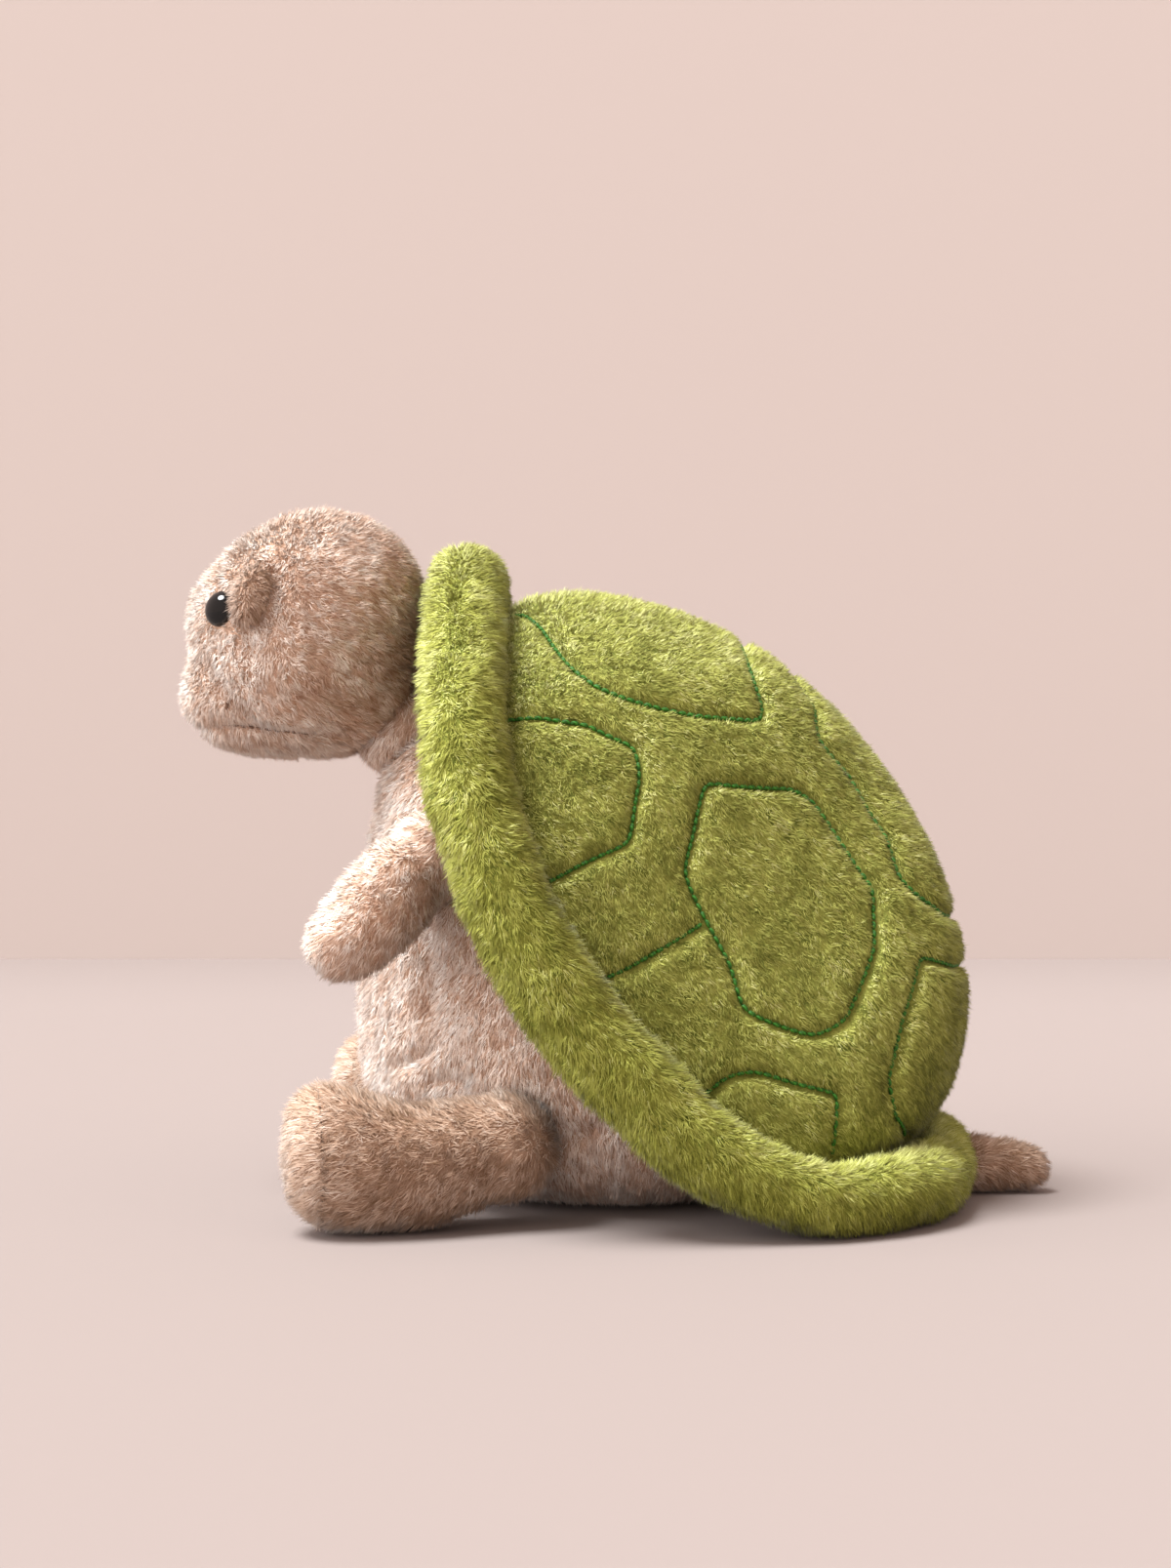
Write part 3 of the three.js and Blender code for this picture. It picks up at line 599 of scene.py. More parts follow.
@dataclass(frozen=True)
class KnitBacking:
    """Knitted polyester ground: matt, a little mottled, with fine ribs of loops."""

    name: str
    dye: str
    shade: str
    loop_mm: float
    loop_relief_mm: float = 0.3
    loop_relief: float = 0.6
    mottle_mm: float = 9.0
    roughness: float = 0.95
    gloss: float = 0.1

    def material(self) -> bpy.types.Material:
        """Makes the material: mottled dye and ribs of loops."""
        finish = FinishTree(self.name)
        mottle = finish.pattern("Noise", self.mottle_mm, Detail=4.0)
        loops = finish.pattern("Voronoi", self.loop_mm, "Distance")
        return finish.finished(
            {
                "Base Color": finish.between(mottle, self.shade, self.dye),
                "Roughness": self.roughness,
                "Specular IOR Level": self.gloss,
                "Normal": finish.raised(loops, self.loop_relief_mm, self.loop_relief),
            }
        )


@dataclass(frozen=True)
class TwistedThread:
    """Two-ply polyester sewing thread: a slight shine along the twist of its plies."""

    name: str
    dye: str
    # Painted shade in the grooves between the plies.
    shade: str
    band_mm: float = 11 / 3
    bend: float = 1.5
    ply_relief_mm: float = 0.2
    ply_relief: float = 0.7
    roughness: float = 0.6
    gloss: float = 0.3

    def material(self) -> bpy.types.Material:
        """Makes the material: bands of ply, with painted shade in the grooves between them."""
        finish = FinishTree(self.name)
        plies = finish.pattern("Wave", self.band_mm, Distortion=self.bend)
        return finish.finished(
            {
                "Base Color": finish.between(plies, self.shade, self.dye),
                "Roughness": self.roughness,
                "Specular IOR Level": self.gloss,
                "Normal": finish.raised(plies, self.ply_relief_mm, self.ply_relief),
            }
        )


@dataclass(frozen=True)
class MouldedPlastic:
    """Injection-moulded plastic, polished or as it leaves the mould, with faint handling marks."""

    name: str
    colour: str
    shade: str
    roughness: tuple[float, float]
    mark_mm: float = 2.5
    gloss: float = 0.4

    def material(self) -> bpy.types.Material:
        """Makes the material: even colour and roughness broken by faint marks."""
        finish = FinishTree(self.name)
        marks = finish.pattern("Noise", self.mark_mm, Detail=6.0)
        return finish.finished(
            {
                "Base Color": finish.between(marks, self.shade, self.colour),
                "Roughness": finish.ranged(marks, self.roughness),
                "Specular IOR Level": self.gloss,
            }
        )


@dataclass(frozen=True)
class LooseFibre:
    """Crimped polyester wadding: white, matt and full of small shadows between its tufts."""

    name: str
    bright: str
    shadow: str
    tuft_mm: float = 6.0
    crimp: float = 1.2
    tuft_relief_mm: float = 1.0
    tuft_relief: float = 0.8
    roughness: float = 0.95
    sheen: float = 0.3

    def material(self) -> bpy.types.Material:
        """Makes the material: tufts with soft shadows and a rough relief."""
        finish = FinishTree(self.name)
        tufts = finish.pattern("Noise", self.tuft_mm, Detail=8.0, Distortion=self.crimp)
        return finish.finished(
            {
                "Base Color": finish.between(tufts, self.shadow, self.bright),
                "Roughness": self.roughness,
                "Sheen Weight": self.sheen,
                "Normal": finish.raised(tufts, self.tuft_relief_mm, self.tuft_relief),
            }
        )


@dataclass(frozen=True)
class PaintedSet:
    """Matt emulsion on the studio's floor and wall: even, with the faintest unevenness of a roller."""

    name: str
    colour: str
    roller_mm: float = 300.0
    roughness: tuple[float, float] = (0.85, 0.95)
    gloss: float = 0.2

    def material(self) -> bpy.types.Material:
        """Makes the material: one pale colour with a very slight drift."""
        finish = FinishTree(self.name)
        drift = finish.pattern("Noise", self.roller_mm)
        return finish.finished(
            {
                "Base Color": linear_rgba(self.colour),
                "Roughness": finish.ranged(drift, self.roughness),
                "Specular IOR Level": self.gloss,
            }
        )


WARM_SHEEN = "fff6ee"
GREEN_SHEEN = "f2f4d0"
# Painted light and shade along X, Y and Z: the taupe piles paler on faces that look towards -X, where the
# lamps shine from; the green piles paler there and on faces that look up.
FRONT_PAINTED_LIGHT = (-0.3, 0.0, -0.06)
TOP_PAINTED_LIGHT = (-0.3, 0.0, 0.42)
TAUPE_DYES = ("a98069", "cbab96", "e9d6c8", "fdf4ec")
LIMB_DYES = ("85674f", "a48670", "c2a793", "dfccbd")
BROW_DYES = ("86684f", "a58670", "c2a592", "dcc6b5")
GREEN_DYES = ("6d702f", "919346", "b3b560", "d5d68d")
LIME_DYES = ("6b6e29", "8b8d3c", "abad55", "cfd182")
# Each pile's third colour is the painted shade of its ground between the tufts.
TAUPE_PILE = PlushPile("taupe_pile", TAUPE_DYES, "9a765d", WARM_SHEEN, FRONT_PAINTED_LIGHT)
LIMB_PILE = PlushPile("limb_pile", LIMB_DYES, "7b5d49", WARM_SHEEN, FRONT_PAINTED_LIGHT)
BROW_PILE = PlushPile("brow_pile", BROW_DYES, "765844", WARM_SHEEN, FRONT_PAINTED_LIGHT)
GREEN_PILE = PlushPile("green_pile", GREEN_DYES, "4f5820", GREEN_SHEEN, TOP_PAINTED_LIGHT, sheen=0.16)
LIME_PILE = PlushPile("lime_pile", LIME_DYES, "545e22", GREEN_SHEEN, TOP_PAINTED_LIGHT, sheen=0.16)
LINING_CLOTH = KnitBacking("woven_lining", "8d9448", "767d38", loop_mm=0.8)
PELLET_CLOTH = KnitBacking("pellet_cloth", "e4ddd0", "cfc6b6", loop_mm=2.5)
# A thread's second colour is painted shade for the grooves between its plies.
GREEN_THREAD = TwistedThread("green_thread", "33701f", "1f4a12")
BROWN_THREAD = TwistedThread("brown_thread", "7d604e", "5c4437")
BLACK_EYE = MouldedPlastic("black_eye_plastic", "070708", "040405", (0.032, 0.052))
WHITE_WASHER = MouldedPlastic("white_washer_plastic", "ecece9", "dfdfda", (0.36, 0.585))
WADDING = LooseFibre("polyester_wadding", "f4f2ec", "d2cec4")
STUDIO_FLOOR = PaintedSet("studio_floor", "877c78")
STUDIO_WALL = PaintedSet("studio_wall", "b3a7a2")


# Pieces

# Heights are in millimetres over the floor: the lowest that a tuft reaches, and where roots start.
FACES_EACH = 196_000
FACES_PER_TUFT = 4
PILE_FLOOR = 0.2
PILE_START = 1.2


def surface_object(name: str, surface: Surface, materials: Sequence[bpy.types.Material]) -> bpy.types.Object:
    """Turns a surface into an object in the scene.

    Args:
        name: The object's name.
        surface: Its mesh, in millimetres.
        materials: Its material slots.

    Returns:
        The new object, smooth shaded.
    """
    mesh = bpy.data.meshes.new(name)
    mesh.from_pydata((surface.points * MM).tolist(), [], surface.faces)
    mesh.polygons.foreach_set("use_smooth", np.ones(len(mesh.polygons), bool))
    mesh.update()
    for material in materials:
        mesh.materials.append(material)
    piece = bpy.data.objects.new(name, mesh)
    bpy.context.scene.collection.objects.link(piece)
    return piece


def tie_to_frame(piece: bpy.types.Object, body: str, slot: str, node: str) -> None:
    """Ties a finished piece to the frame.

    Args:
        piece: The piece.
        body: The body that carries it.
        slot: The record's material slot; not used.
        node: The CAD node that it stands for.
    """
    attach(piece, body)
    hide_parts(node)
    log.info("%s rides on %s", piece.name, body)


@dataclass(frozen=True)
class Tufts:
    """How the pile of one piece of cloth stands: lengths in millimetres, angles in degrees.

    Swirl turns the nap in patches, jitter each tuft by itself, and drift makes patches lie lower or
    grow longer. Clump draws tips together; ruffle turns the way that light falls on them.
    """

    length: float = 4.1
    width: float = 0.5
    width_spread: float = 0.4
    lean: float = 55.0
    per_square_mm: float = 1.9
    swirl: float = 24.0
    swirl_size: float = 19.0
    fine_swirl_share: float = 0.5
    jitter: float = 14.0
    lean_jitter_share: float = 0.6
    lean_drift: float = 9.0
    least_rise: float = 0.25
    clump: float = 0.8
    clump_size: float = 2.0
    ruffle: float = 0.46
    ruffle_size: float = 2.4
    unevenness: float = 0.16
    length_drift: float = 0.12
    length_drift_size: float = 11.0
    shortest: float = 1.5
    longest_share: float = 1.4
    root_sink: float = 0.3
    root_roundness: float = 0.45
    root_ruffle: float = 0.9
    tip_roundness: float = 0.3
    tip_ruffle: float = 1.2


@dataclass
class Nap:
    """Which way the pile of a piece is combed, and where it is kept off.

    comb gives a direction for each point and normal. hidden tells which roots are left bare because
    another piece covers them. seams are routes that part the pile: within seam_reach it is drawn
    away from them and is shorter.
    """

    comb: NapField
    hidden: PlaceTest
    seed: int
    seams: Sequence[Points] = ()
    seam_reach: float = 7.0
    seam_core: float = 0.5
    seam_core_share: float = 0.2
    seam_hold: float = 0.6
    seam_push: float = 0.5
    seam_trim: float = 0.6

    def field(self, number: int) -> int:
        """The seed of one of the nap's own random fields."""
        return self.seed * 7 + number


def scattered(
    surface: Surface, per_square_mm: float, random: np.random.Generator
) -> tuple[Points, Points]:
    """Sprinkles tufts' roots evenly over a surface.

    Args:
        surface: The backing that they stand in.
        per_square_mm: How dense they are.
        random: Where the chance comes from.

    Returns:
        The roots, and the outward directions at them.
    """
    corners, facing = surface.triangles()
    areas = np.linalg.norm(facing, axis=1) / 2
    count = int(areas.sum() * per_square_mm)
    chosen = corners[np.sort(random.choice(len(areas), count, p=areas / areas.sum()))]
    root_share = np.sqrt(random.random(count))
    turn_share = random.random(count)
    weights = np.stack([1 - root_share, root_share * (1 - turn_share), root_share * turn_share], axis=1)
    roots = (surface.points[chosen] * weights[..., None]).sum(axis=1)
    return roots, unit((surface.normals()[chosen] * weights[..., None]).sum(axis=1))


def combed(
    roots: Points, facing: Points, tufts: Tufts, nap: Nap, random: np.random.Generator
) -> tuple[Points, np.ndarray, Points]:
    """Lays tufts the way that they are combed.

    Args:
        roots: Where they stand.
        facing: The outward directions there.
        tufts: How they stand.
        nap: The way they are combed.
        random: Where the chance comes from.

    Returns:
        Their headings, their lengths in millimetres, and how the light on them is ruffled.
    """
    count = len(roots)
    comb = nap.comb(roots, facing)
    trimmed = np.ones(count)
    if len(nap.seams):
        distance, away = nearest_line(roots, nap.seams, nap.seam_reach)
        near = 1 - smooth_step(nap.seam_core_share * nap.seam_reach, nap.seam_reach, distance)[:, None]
        comb = comb * (1 - nap.seam_hold * near) + away * near * nap.seam_push
        grown = smooth_step(nap.seam_core, nap.seam_reach, distance)
        trimmed = 1 - nap.seam_trim + nap.seam_trim * grown
    comb = unit(comb - (comb * facing).sum(axis=1, keepdims=True) * facing)
    across = np.cross(facing, comb)
    fine_swirl = tufts.fine_swirl_share * tufts.swirl
    swirl = tufts.swirl * value_noise(roots, tufts.swirl_size, nap.field(1))
    swirl = swirl + fine_swirl * value_noise(roots, tufts.swirl_size / 3, nap.field(2))
    angle = np.radians(swirl + random.normal(0, tufts.jitter, count))[:, None]
    comb = comb * np.cos(angle) + across * np.sin(angle)
    lean = tufts.lean + tufts.lean_drift * value_noise(roots, tufts.swirl_size / 2, nap.field(3))
    lean = np.radians(lean + random.normal(0, tufts.jitter * tufts.lean_jitter_share, count))[:, None]
    ruffle = tufts.ruffle * noise_vectors(roots, tufts.ruffle_size, nap.field(6))
    heading = unit(facing * np.cos(lean) + comb * np.sin(lean) + ruffle)
    rise = (heading * facing).sum(axis=1, keepdims=True)
    heading = unit(heading + facing * np.maximum(tufts.least_rise - rise, 0))
    length = tufts.length * (1 + tufts.unevenness * random.normal(0, 1, count))
    drift = 1 + tufts.length_drift * value_noise(roots, tufts.length_drift_size, nap.field(4))
    length = np.clip(length * drift, tufts.shortest, tufts.longest_share * tufts.length)
    return heading, length * trimmed, ruffle


def grow_pile(
    name: str, surface: Surface, tufts: Tufts, nap: Nap, pile: PlushPile
) -> list[bpy.types.Object]:
    """Covers a surface with tapered tufts.

    Args:
        name: The stem of the new objects' names.
        surface: The backing that the tufts stand in.
        tufts: Their sizes and how they stand.
        nap: The way they are combed, and where they are left out.
        pile: Their finish.

    Returns:
        One object for each share of the tufts that a piece may hold.
    """
    random = np.random.default_rng(SEED + nap.seed)
    roots, facing = scattered(surface, tufts.per_square_mm * (1.0), random)
    shown = ~nap.hidden(roots)
    roots, facing = roots[shown], facing[shown]
    count = len(roots)
    heading, length, ruffle = combed(roots, facing, tufts, nap, random)
    tips = roots + heading * length[:, None]
    tips = tips + tufts.clump * noise_vectors(tips, tufts.clump_size, nap.field(5))

    sideways = unit(np.cross(heading, facing))
    edge = np.cross(heading, sideways)
    spin = random.random(count) * 2 * math.pi
    thickness = 1 - tufts.width_spread / 2 + tufts.width_spread * random.random(count)
    radius = tufts.width / 2 * thickness
    vertices = np.empty((count, 4, 3))
    shading = np.empty((count, 4, 3))
    for corner in range(3):
        bearing = spin + corner * 2 * math.pi / 3
        arm = sideways * np.cos(bearing)[:, None] + edge * np.sin(bearing)[:, None]
        vertices[:, corner] = roots - tufts.root_sink * facing + arm * radius[:, None]
        shading[:, corner] = unit(facing + tufts.root_roundness * arm + tufts.root_ruffle * ruffle)
    vertices[:, 3] = tips
    shading[:, 3] = unit(facing + tufts.tip_roundness * heading + tufts.tip_ruffle * ruffle)
    vertices[..., 2] = np.maximum(vertices[..., 2], PILE_FLOOR)
    lot = pile.lots(roots, facing, (nap.field(8), nap.field(9)), random)

    materials = pile.materials()
    parts = max(1, math.ceil(count * FACES_PER_TUFT / FACES_EACH))
    pieces = []
    for part, rows in enumerate(np.array_split(np.arange(count), parts)):
        label = name if parts == 1 else f"{name}_{part + 1}"
        pieces.append(tuft_object(label, vertices[rows], shading[rows], lot[rows], materials))
    log.info("%s: %d tufts in %d pieces", name, count, parts)
    return pieces


def tuft_object(
    name: str,
    vertices: np.ndarray,
    shading: np.ndarray,
    lot: np.ndarray,
    materials: Sequence[bpy.types.Material],
) -> bpy.types.Object:
    """Makes one object of many four-sided tufts.

    Args:
        name: The object's name.
        vertices: Tufts x 4 corners x 3, in millimetres; the last corner is the tip.
        shading: The direction each corner is lit from.
        lot: Each tuft's dye lot.
        materials: The dye lots' materials.

    Returns:
        The new object.
    """
    count = len(vertices)
    pattern = np.array([0, 1, 3, 1, 2, 3, 2, 0, 3, 0, 2, 1])
    loops = (np.arange(count)[:, None] * 4 + pattern[None]).ravel()
    mesh = bpy.data.meshes.new(name)
    mesh.vertices.add(count * 4)
    mesh.vertices.foreach_set("co", (vertices * MM).astype(np.float32).ravel())
    mesh.loops.add(len(loops))
    mesh.loops.foreach_set("vertex_index", loops.astype(np.int32))
    mesh.polygons.add(count * FACES_PER_TUFT)
    mesh.polygons.foreach_set("loop_start", (np.arange(count * FACES_PER_TUFT) * 3).astype(np.int32))
    mesh.polygons.foreach_set("material_index", np.repeat(lot, FACES_PER_TUFT).astype(np.int32))
    mesh.polygons.foreach_set("use_smooth", np.ones(count * FACES_PER_TUFT, bool))
    mesh.update(calc_edges=True)
    mesh.normals_split_custom_set_from_vertices(shading.reshape(-1, 3))
    for material in materials:
        mesh.materials.append(material)
    piece = bpy.data.objects.new(name, mesh)
    bpy.context.scene.collection.objects.link(piece)
    return piece


# Room between pieces

FAR_OUTSIDE = -1e3


class Solid:
    """A closed surface that answers how deep a point lies in it."""

    def __init__(self, surface: Surface) -> None:
        """Takes the surface and sorts its faces.

        Args:
            surface: A closed surface, faces looking out.
        """
        self.low = surface.points.min(axis=0)
        self.high = surface.points.max(axis=0)
        self.tree = BVHTree.FromPolygons(surface.points.tolist(), surface.faces)

    def depth(self, points: Points, margin: float = 0.0) -> np.ndarray:
        """How far inside the surface each point lies.

        Args:
            points: Where to measure.
            margin: How far outside the surface it is still measured.

        Returns:
            Millimetres under the surface; negative outside, and far outside a large negative.
        """
        found = np.full(len(points), FAR_OUTSIDE)
        near = np.flatnonzero(((points > self.low - margin) & (points < self.high + margin)).all(axis=1))
        for index in near:
            place, normal, _, distance = self.tree.find_nearest(points[index].tolist())
            side = (Vector(points[index].tolist()) - place).dot(normal)
            found[index] = distance if side < 0 else -distance
        return found


def any_deeper(solids: Sequence[Solid], depth: float) -> PlaceTest:
    """A test for points that lie deeper than this in any of the solids.

    Args:
        solids: The solids.
        depth: Millimetres under their surface; negative counts a margin outside.

    Returns:
        The test.
    """

    def test(points: Points) -> np.ndarray:
        """True where a point is that deep in a solid."""
        hit = np.zeros(len(points), bool)
        for solid in solids:
            hit |= solid.depth(points, max(0.0, -depth)) > depth
        return hit

    return test


def near_place(place: Points, reach: float) -> PlaceTest:
    """A test for points nearer to a place than this, in millimetres."""
    return lambda points: np.linalg.norm(points - place, axis=1) < reach


def at_floor(points: Points) -> np.ndarray:
    """True where the floor leaves no room for pile."""
    return points[:, 2] < PILE_START


def either(*tests: PlaceTest) -> PlaceTest:
    """A test that is true where any of these is."""
    return lambda points: np.logical_or.reduce([test(points) for test in tests])


def pushed_out(
    points: Points, solids: Sequence[Solid], clearance: float, direction: Points, most: float = 60.0
) -> Points:
    """Moves the points that lie in a solid along one direction until they are clear of it.

    Args:
        points: The points.
        solids: What they keep clear of.
        clearance: How far outside they end, in millimetres.
        direction: Which way they move; one vector, or one for each point.
        most: The farthest that a point moves.

    Returns:
        The moved points.
    """
    moved = points.copy()
    ways = np.broadcast_to(direction, points.shape)
    step = 1.0
    active = np.arange(len(points))
    for _ in range(int(most / step)):
        deep = np.full(len(active), FAR_OUTSIDE)
        for solid in solids:
            deep = np.maximum(deep, solid.depth(moved[active], clearance))
        active = active[deep > -clearance]
        if not len(active):
            break
        moved[active] += ways[active] * step
    return moved


def out_of_ball(points: Points, centre: Points, radius: float, direction: Points) -> Points:
    """Dents a surface so that a ball fits into it.

    Args:
        points: The surface's points.
        centre: The ball's centre.
        radius: Its radius with its clearance.
        direction: Which way the dent goes, one long.

    Returns:
        The points, with those in the ball moved to its far side.
    """
    arm = points - centre
    along = arm @ direction
    aside = np.linalg.norm(arm - along[:, None] * direction, axis=1)
    far = np.sqrt(np.maximum(radius**2 - aside**2, 0))
    shift = np.where((aside < radius) & (along > -far) & (along < far), far - along, 0)
    return points + shift[:, None] * direction


def onto_ball(points: Points, centre: Points, radius: float, blend: float) -> Points:
    """Swells a surface so that a ball inside it is covered.

    Args:
        points: The surface's points.
        centre: The ball's centre.
        radius: Its radius, in millimetres.
        blend: How far from the ball's surface the swelling fades, in millimetres.

    Returns:
        The points, with those in the ball moved to its surface.
    """
    arm = points - centre
    reach = np.linalg.norm(arm, axis=1, keepdims=True)
    swollen = reach + blend * np.logaddexp(0, (radius - reach) / blend)
    return centre + arm / np.maximum(reach, TINY) * swollen


def grounded(surface: Surface, level: float) -> Surface:
    """Presses a surface flat where it would go under a level, in millimetres over the floor."""
    surface.points[:, 2] = np.maximum(surface.points[:, 2], level)
    return surface


def joined_surface(parts: Sequence[Surface]) -> Surface:
    """Several surfaces as one."""
    points = np.vstack([part.points for part in parts])
    faces: list[tuple[int, ...]] = []
    start = 0
    for part in parts:
        faces.extend(tuple(corner + start for corner in face) for face in part.faces)
        start += len(part.points)
    return Surface(points, faces)


def creased(surface: Surface, lines: Sequence[Points], depth: float, width: float) -> Surface:
    """Presses creases into a surface along routes: depth and half width in millimetres."""
    distance, _ = nearest_line(surface.points, lines, 3 * width)
    return surface.moved(-depth * np.exp(-((distance / width) ** 2)))


def swollen(surface: Surface, centre: Points, rise: float, reach: float) -> Surface:
    """Swells a surface round a place, or dents it where the rise is negative: lengths in millimetres."""
    gap = np.linalg.norm(surface.points - centre, axis=1)
    return surface.moved(rise * np.exp(-((gap / reach) ** 2)))


def lumpy(surface: Surface, rise: float, size: float, seed: int) -> Surface:
    """Moves a surface in and out at random, as stuffing pushes it: rise and size in millimetres."""
    return surface.moved(rise * value_noise(surface.points, size, seed))


CURVE_STEPS = 14
LEAST_KNOT = 1e-3


def seam_curve(corners: Points) -> Points:
    """A smooth route through corners that doesn't swing wide at short runs.

    Args:
        corners: The corners in order.

    Returns:
        Close points along it, from the first corner to the last.
    """
    rows = np.vstack([2 * corners[:1] - corners[1:2], corners, 2 * corners[-1:] - corners[-2:-1]])
    share = np.linspace(0, 1, CURVE_STEPS, endpoint=False)[:, None]
    runs = []
    for index in range(len(rows) - 3):
        before, here, after, beyond = rows[index : index + 4]
        gaps = np.linalg.norm(np.diff(rows[index : index + 4], axis=0), axis=1)
        first, middle, last = np.maximum(np.sqrt(gaps), LEAST_KNOT)
        rise_here = (here - before) / first - (after - before) / (first + middle)
        rise_here = (rise_here + (after - here) / middle) * middle
        rise_after = (after - here) / middle - (beyond - here) / (middle + last)
        rise_after = (rise_after + (beyond - after) / last) * middle
        runs.append(cubic_run(here, after, rise_here, rise_after, share))
    return np.vstack([*runs, rows[-2:-1]])


def add_piece(
    name: str,
    surface: Surface,
    finish: bpy.types.Material,
    body: str,
    slot: str,
    node: str,
    fill: float | None = None,
) -> None:
    """Puts a finished piece into the scene and ties it to the frame.

    Args:
        name: The piece's name.
        surface: Its form, in millimetres.
        finish: Its material.
        body: The body that carries it.
        slot: The record's material slot; not used.
        node: The CAD node that it stands for.
        fill: How much of it is stuffing, where it is padded; not used.
    """
    piece = surface_object(name, surface, [finish])
    tie_to_frame(piece, body, slot, node)


@dataclass(frozen=True)
class PlushBag:
    """A bag of plush: its backing and the pile on it, as pieces of one body.

    The names of its pieces have a gap for the word cloth or pile.
    """

    names: str
    body: str
    slot: str
    node: str
    pile: PlushPile
    fill: float

    def sew(self, backing: Surface, tufts: Tufts, nap: Nap) -> None:
        """Makes the backing, and grows its pile where the nap lets it."""
        cloth = self.names.format("cloth")
        add_piece(cloth, backing, self.pile.ground(), self.body, self.slot, self.node, self.fill)
        for piece in grow_pile(self.names.format("pile"), backing, tufts, nap, self.pile):
            tie_to_frame(piece, self.body, self.slot, self.node)


# Stitches


@dataclass(frozen=True)
class Stitching:
    """A row of hand or machine stitches: lengths in millimetres."""

    length: float = 3.7
    pitch: float = 3.5
    radius: float = 0.8
    bow: float = 0.5
    rings: int = 7
    sides: int = 6
    blunt: float = 0.04

    def one(self, start: Points, end: Points, up: Points) -> Surface:
        """One stitch between two holes.

        Args:
            start: The first hole.
            end: The second hole.
            up: The cloth's outward direction.

        Returns:
            A closed, tapered, slightly bowed cord.
        """
        heading = unit(end - start)
        across = unit(np.cross(heading, up))
        rise = np.cross(across, heading)
        share = np.linspace(0, 1, self.rings)
        swell = np.sqrt(np.clip(1 - (2 * share - 1) ** 4, self.blunt, 1))
        centre = start + (end - start) * share[:, None]
        centre = centre + rise * ((1 - (2 * share - 1) ** 2) * self.bow)[:, None]
        around = full_turn(self.sides)
        ring = np.cos(around)[None, :, None] * across + np.sin(around)[None, :, None] * rise
        rows = centre[:, None] + ring * (swell * self.radius)[:, None, None]
        points = np.vstack([rows.reshape(-1, 3), centre[:1], centre[-1:]])
        return Surface(points, capped_faces(self.rings, self.sides)).outward()

    def row(self, route: Points, middle: Points) -> Surface:
        """A row of stitches along a route.

        Args:
            route: Close points along the seam.
            middle: A point inside the bag, which the stitches look away from.

        Returns:
            All the stitches as one surface.
        """
        made = []
        for first, second in itertools.pairwise(resampled(route, self.pitch)):
            centre = (first + second) / 2
            half = (second - first) * (self.length / self.pitch) / 2
            made.append(self.one(centre - half, centre + half, unit(centre - middle)))
        return joined_surface(made)


# Body


@dataclass
class Bag:
    """A stuffed bag about an upright line: half sizes in millimetres, and their shares upwards."""

    height: float
    half_width: float
    half_depth: float
    wide_shares: tuple[float, ...]
    deep_shares: tuple[float, ...]
    lower_fullness: float
    upper_fullness: float

    def halves(self, along: np.ndarray) -> tuple[np.ndarray, np.ndarray]:
        """How far it reaches from its line.

        Args:
            along: From -1 at its bottom to 1 at its top.

        Returns:
            Half its depth and half its width there, in millimetres.
        """
        share = (along + 1) / 2
        power = np.where(along < 0, self.lower_fullness, self.upper_fullness)
        full = np.maximum(1 - np.abs(along) ** power, 0) ** (1 / power)
        deep = self.half_depth * share_curve(self.deep_shares, share) * full
        return deep, self.half_width * share_curve(self.wide_shares, share) * full


@dataclass
class BodyBag(Bag):
    """The seated body: a broad bag, flat below, that leans forward to the neck."""

    height: float = 196.0
    half_width: float = 80.0
    half_depth: float = 100.0
    wide_shares: tuple[float, ...] = (1, 1.02, 1, 0.92, 0.82, 0.7)
    deep_shares: tuple[float, ...] = (0.95, 1.02, 0.89, 0.71, 0.54, 0.45)
    lower_fullness: float = 4.0
    upper_fullness: float = 2.0
    lean: float = 76.0
    lean_shares: tuple[float, ...] = (0, 0.03, 0.22, 0.46, 0.74, 1)
    sag: float = 0.5
    nap_spread: float = 0.004
    tufts: Tufts = Tufts()

    def place(self, along: np.ndarray, bearing: np.ndarray) -> Points:
        """The bag's outer form; see ball_surface."""
        share = (along + 1) / 2
        deep, wide = self.halves(along)
        x = -self.lean * share_curve(self.lean_shares, share) + deep * np.cos(bearing)
        return np.stack([x, wide * np.sin(bearing), self.height * share - self.sag], axis=1)

    def form(self, rings: int = 72, sides: int = 96) -> Surface:
        """The outer form as a surface, to the tips of its pile."""
        return ball_surface(self.place, rings, sides)

    def on_flank(self, places: Sequence[tuple[float, float]], side: float, depth: float) -> Points:
        """Points on one flank.

        Args:
            places: Their X and Z, in millimetres.
            side: -1 for the left, 1 for the right.
            depth: How far under the pile's tips they lie.

        Returns:
            The points.
        """
        rows = np.array(places, float)
        share = (rows[:, 1] + self.sag) / self.height
        deep, wide = self.halves(share * 2 - 1)
        aside = (rows[:, 0] + self.lean * share_curve(self.lean_shares, share)) / (deep - depth)
        y = side * (wide - depth) * np.sqrt(np.clip(1 - aside**2, 0, 1))
        return np.stack([rows[:, 0], y, rows[:, 1]], axis=1)

    def comb(self, points: Points, normals: Points) -> Points:
        """Pile brushed downwards, a little to the sides."""
        y = points[:, 1]
        return np.stack([0 * y, self.nap_spread * y, -np.ones(len(y))], axis=1)


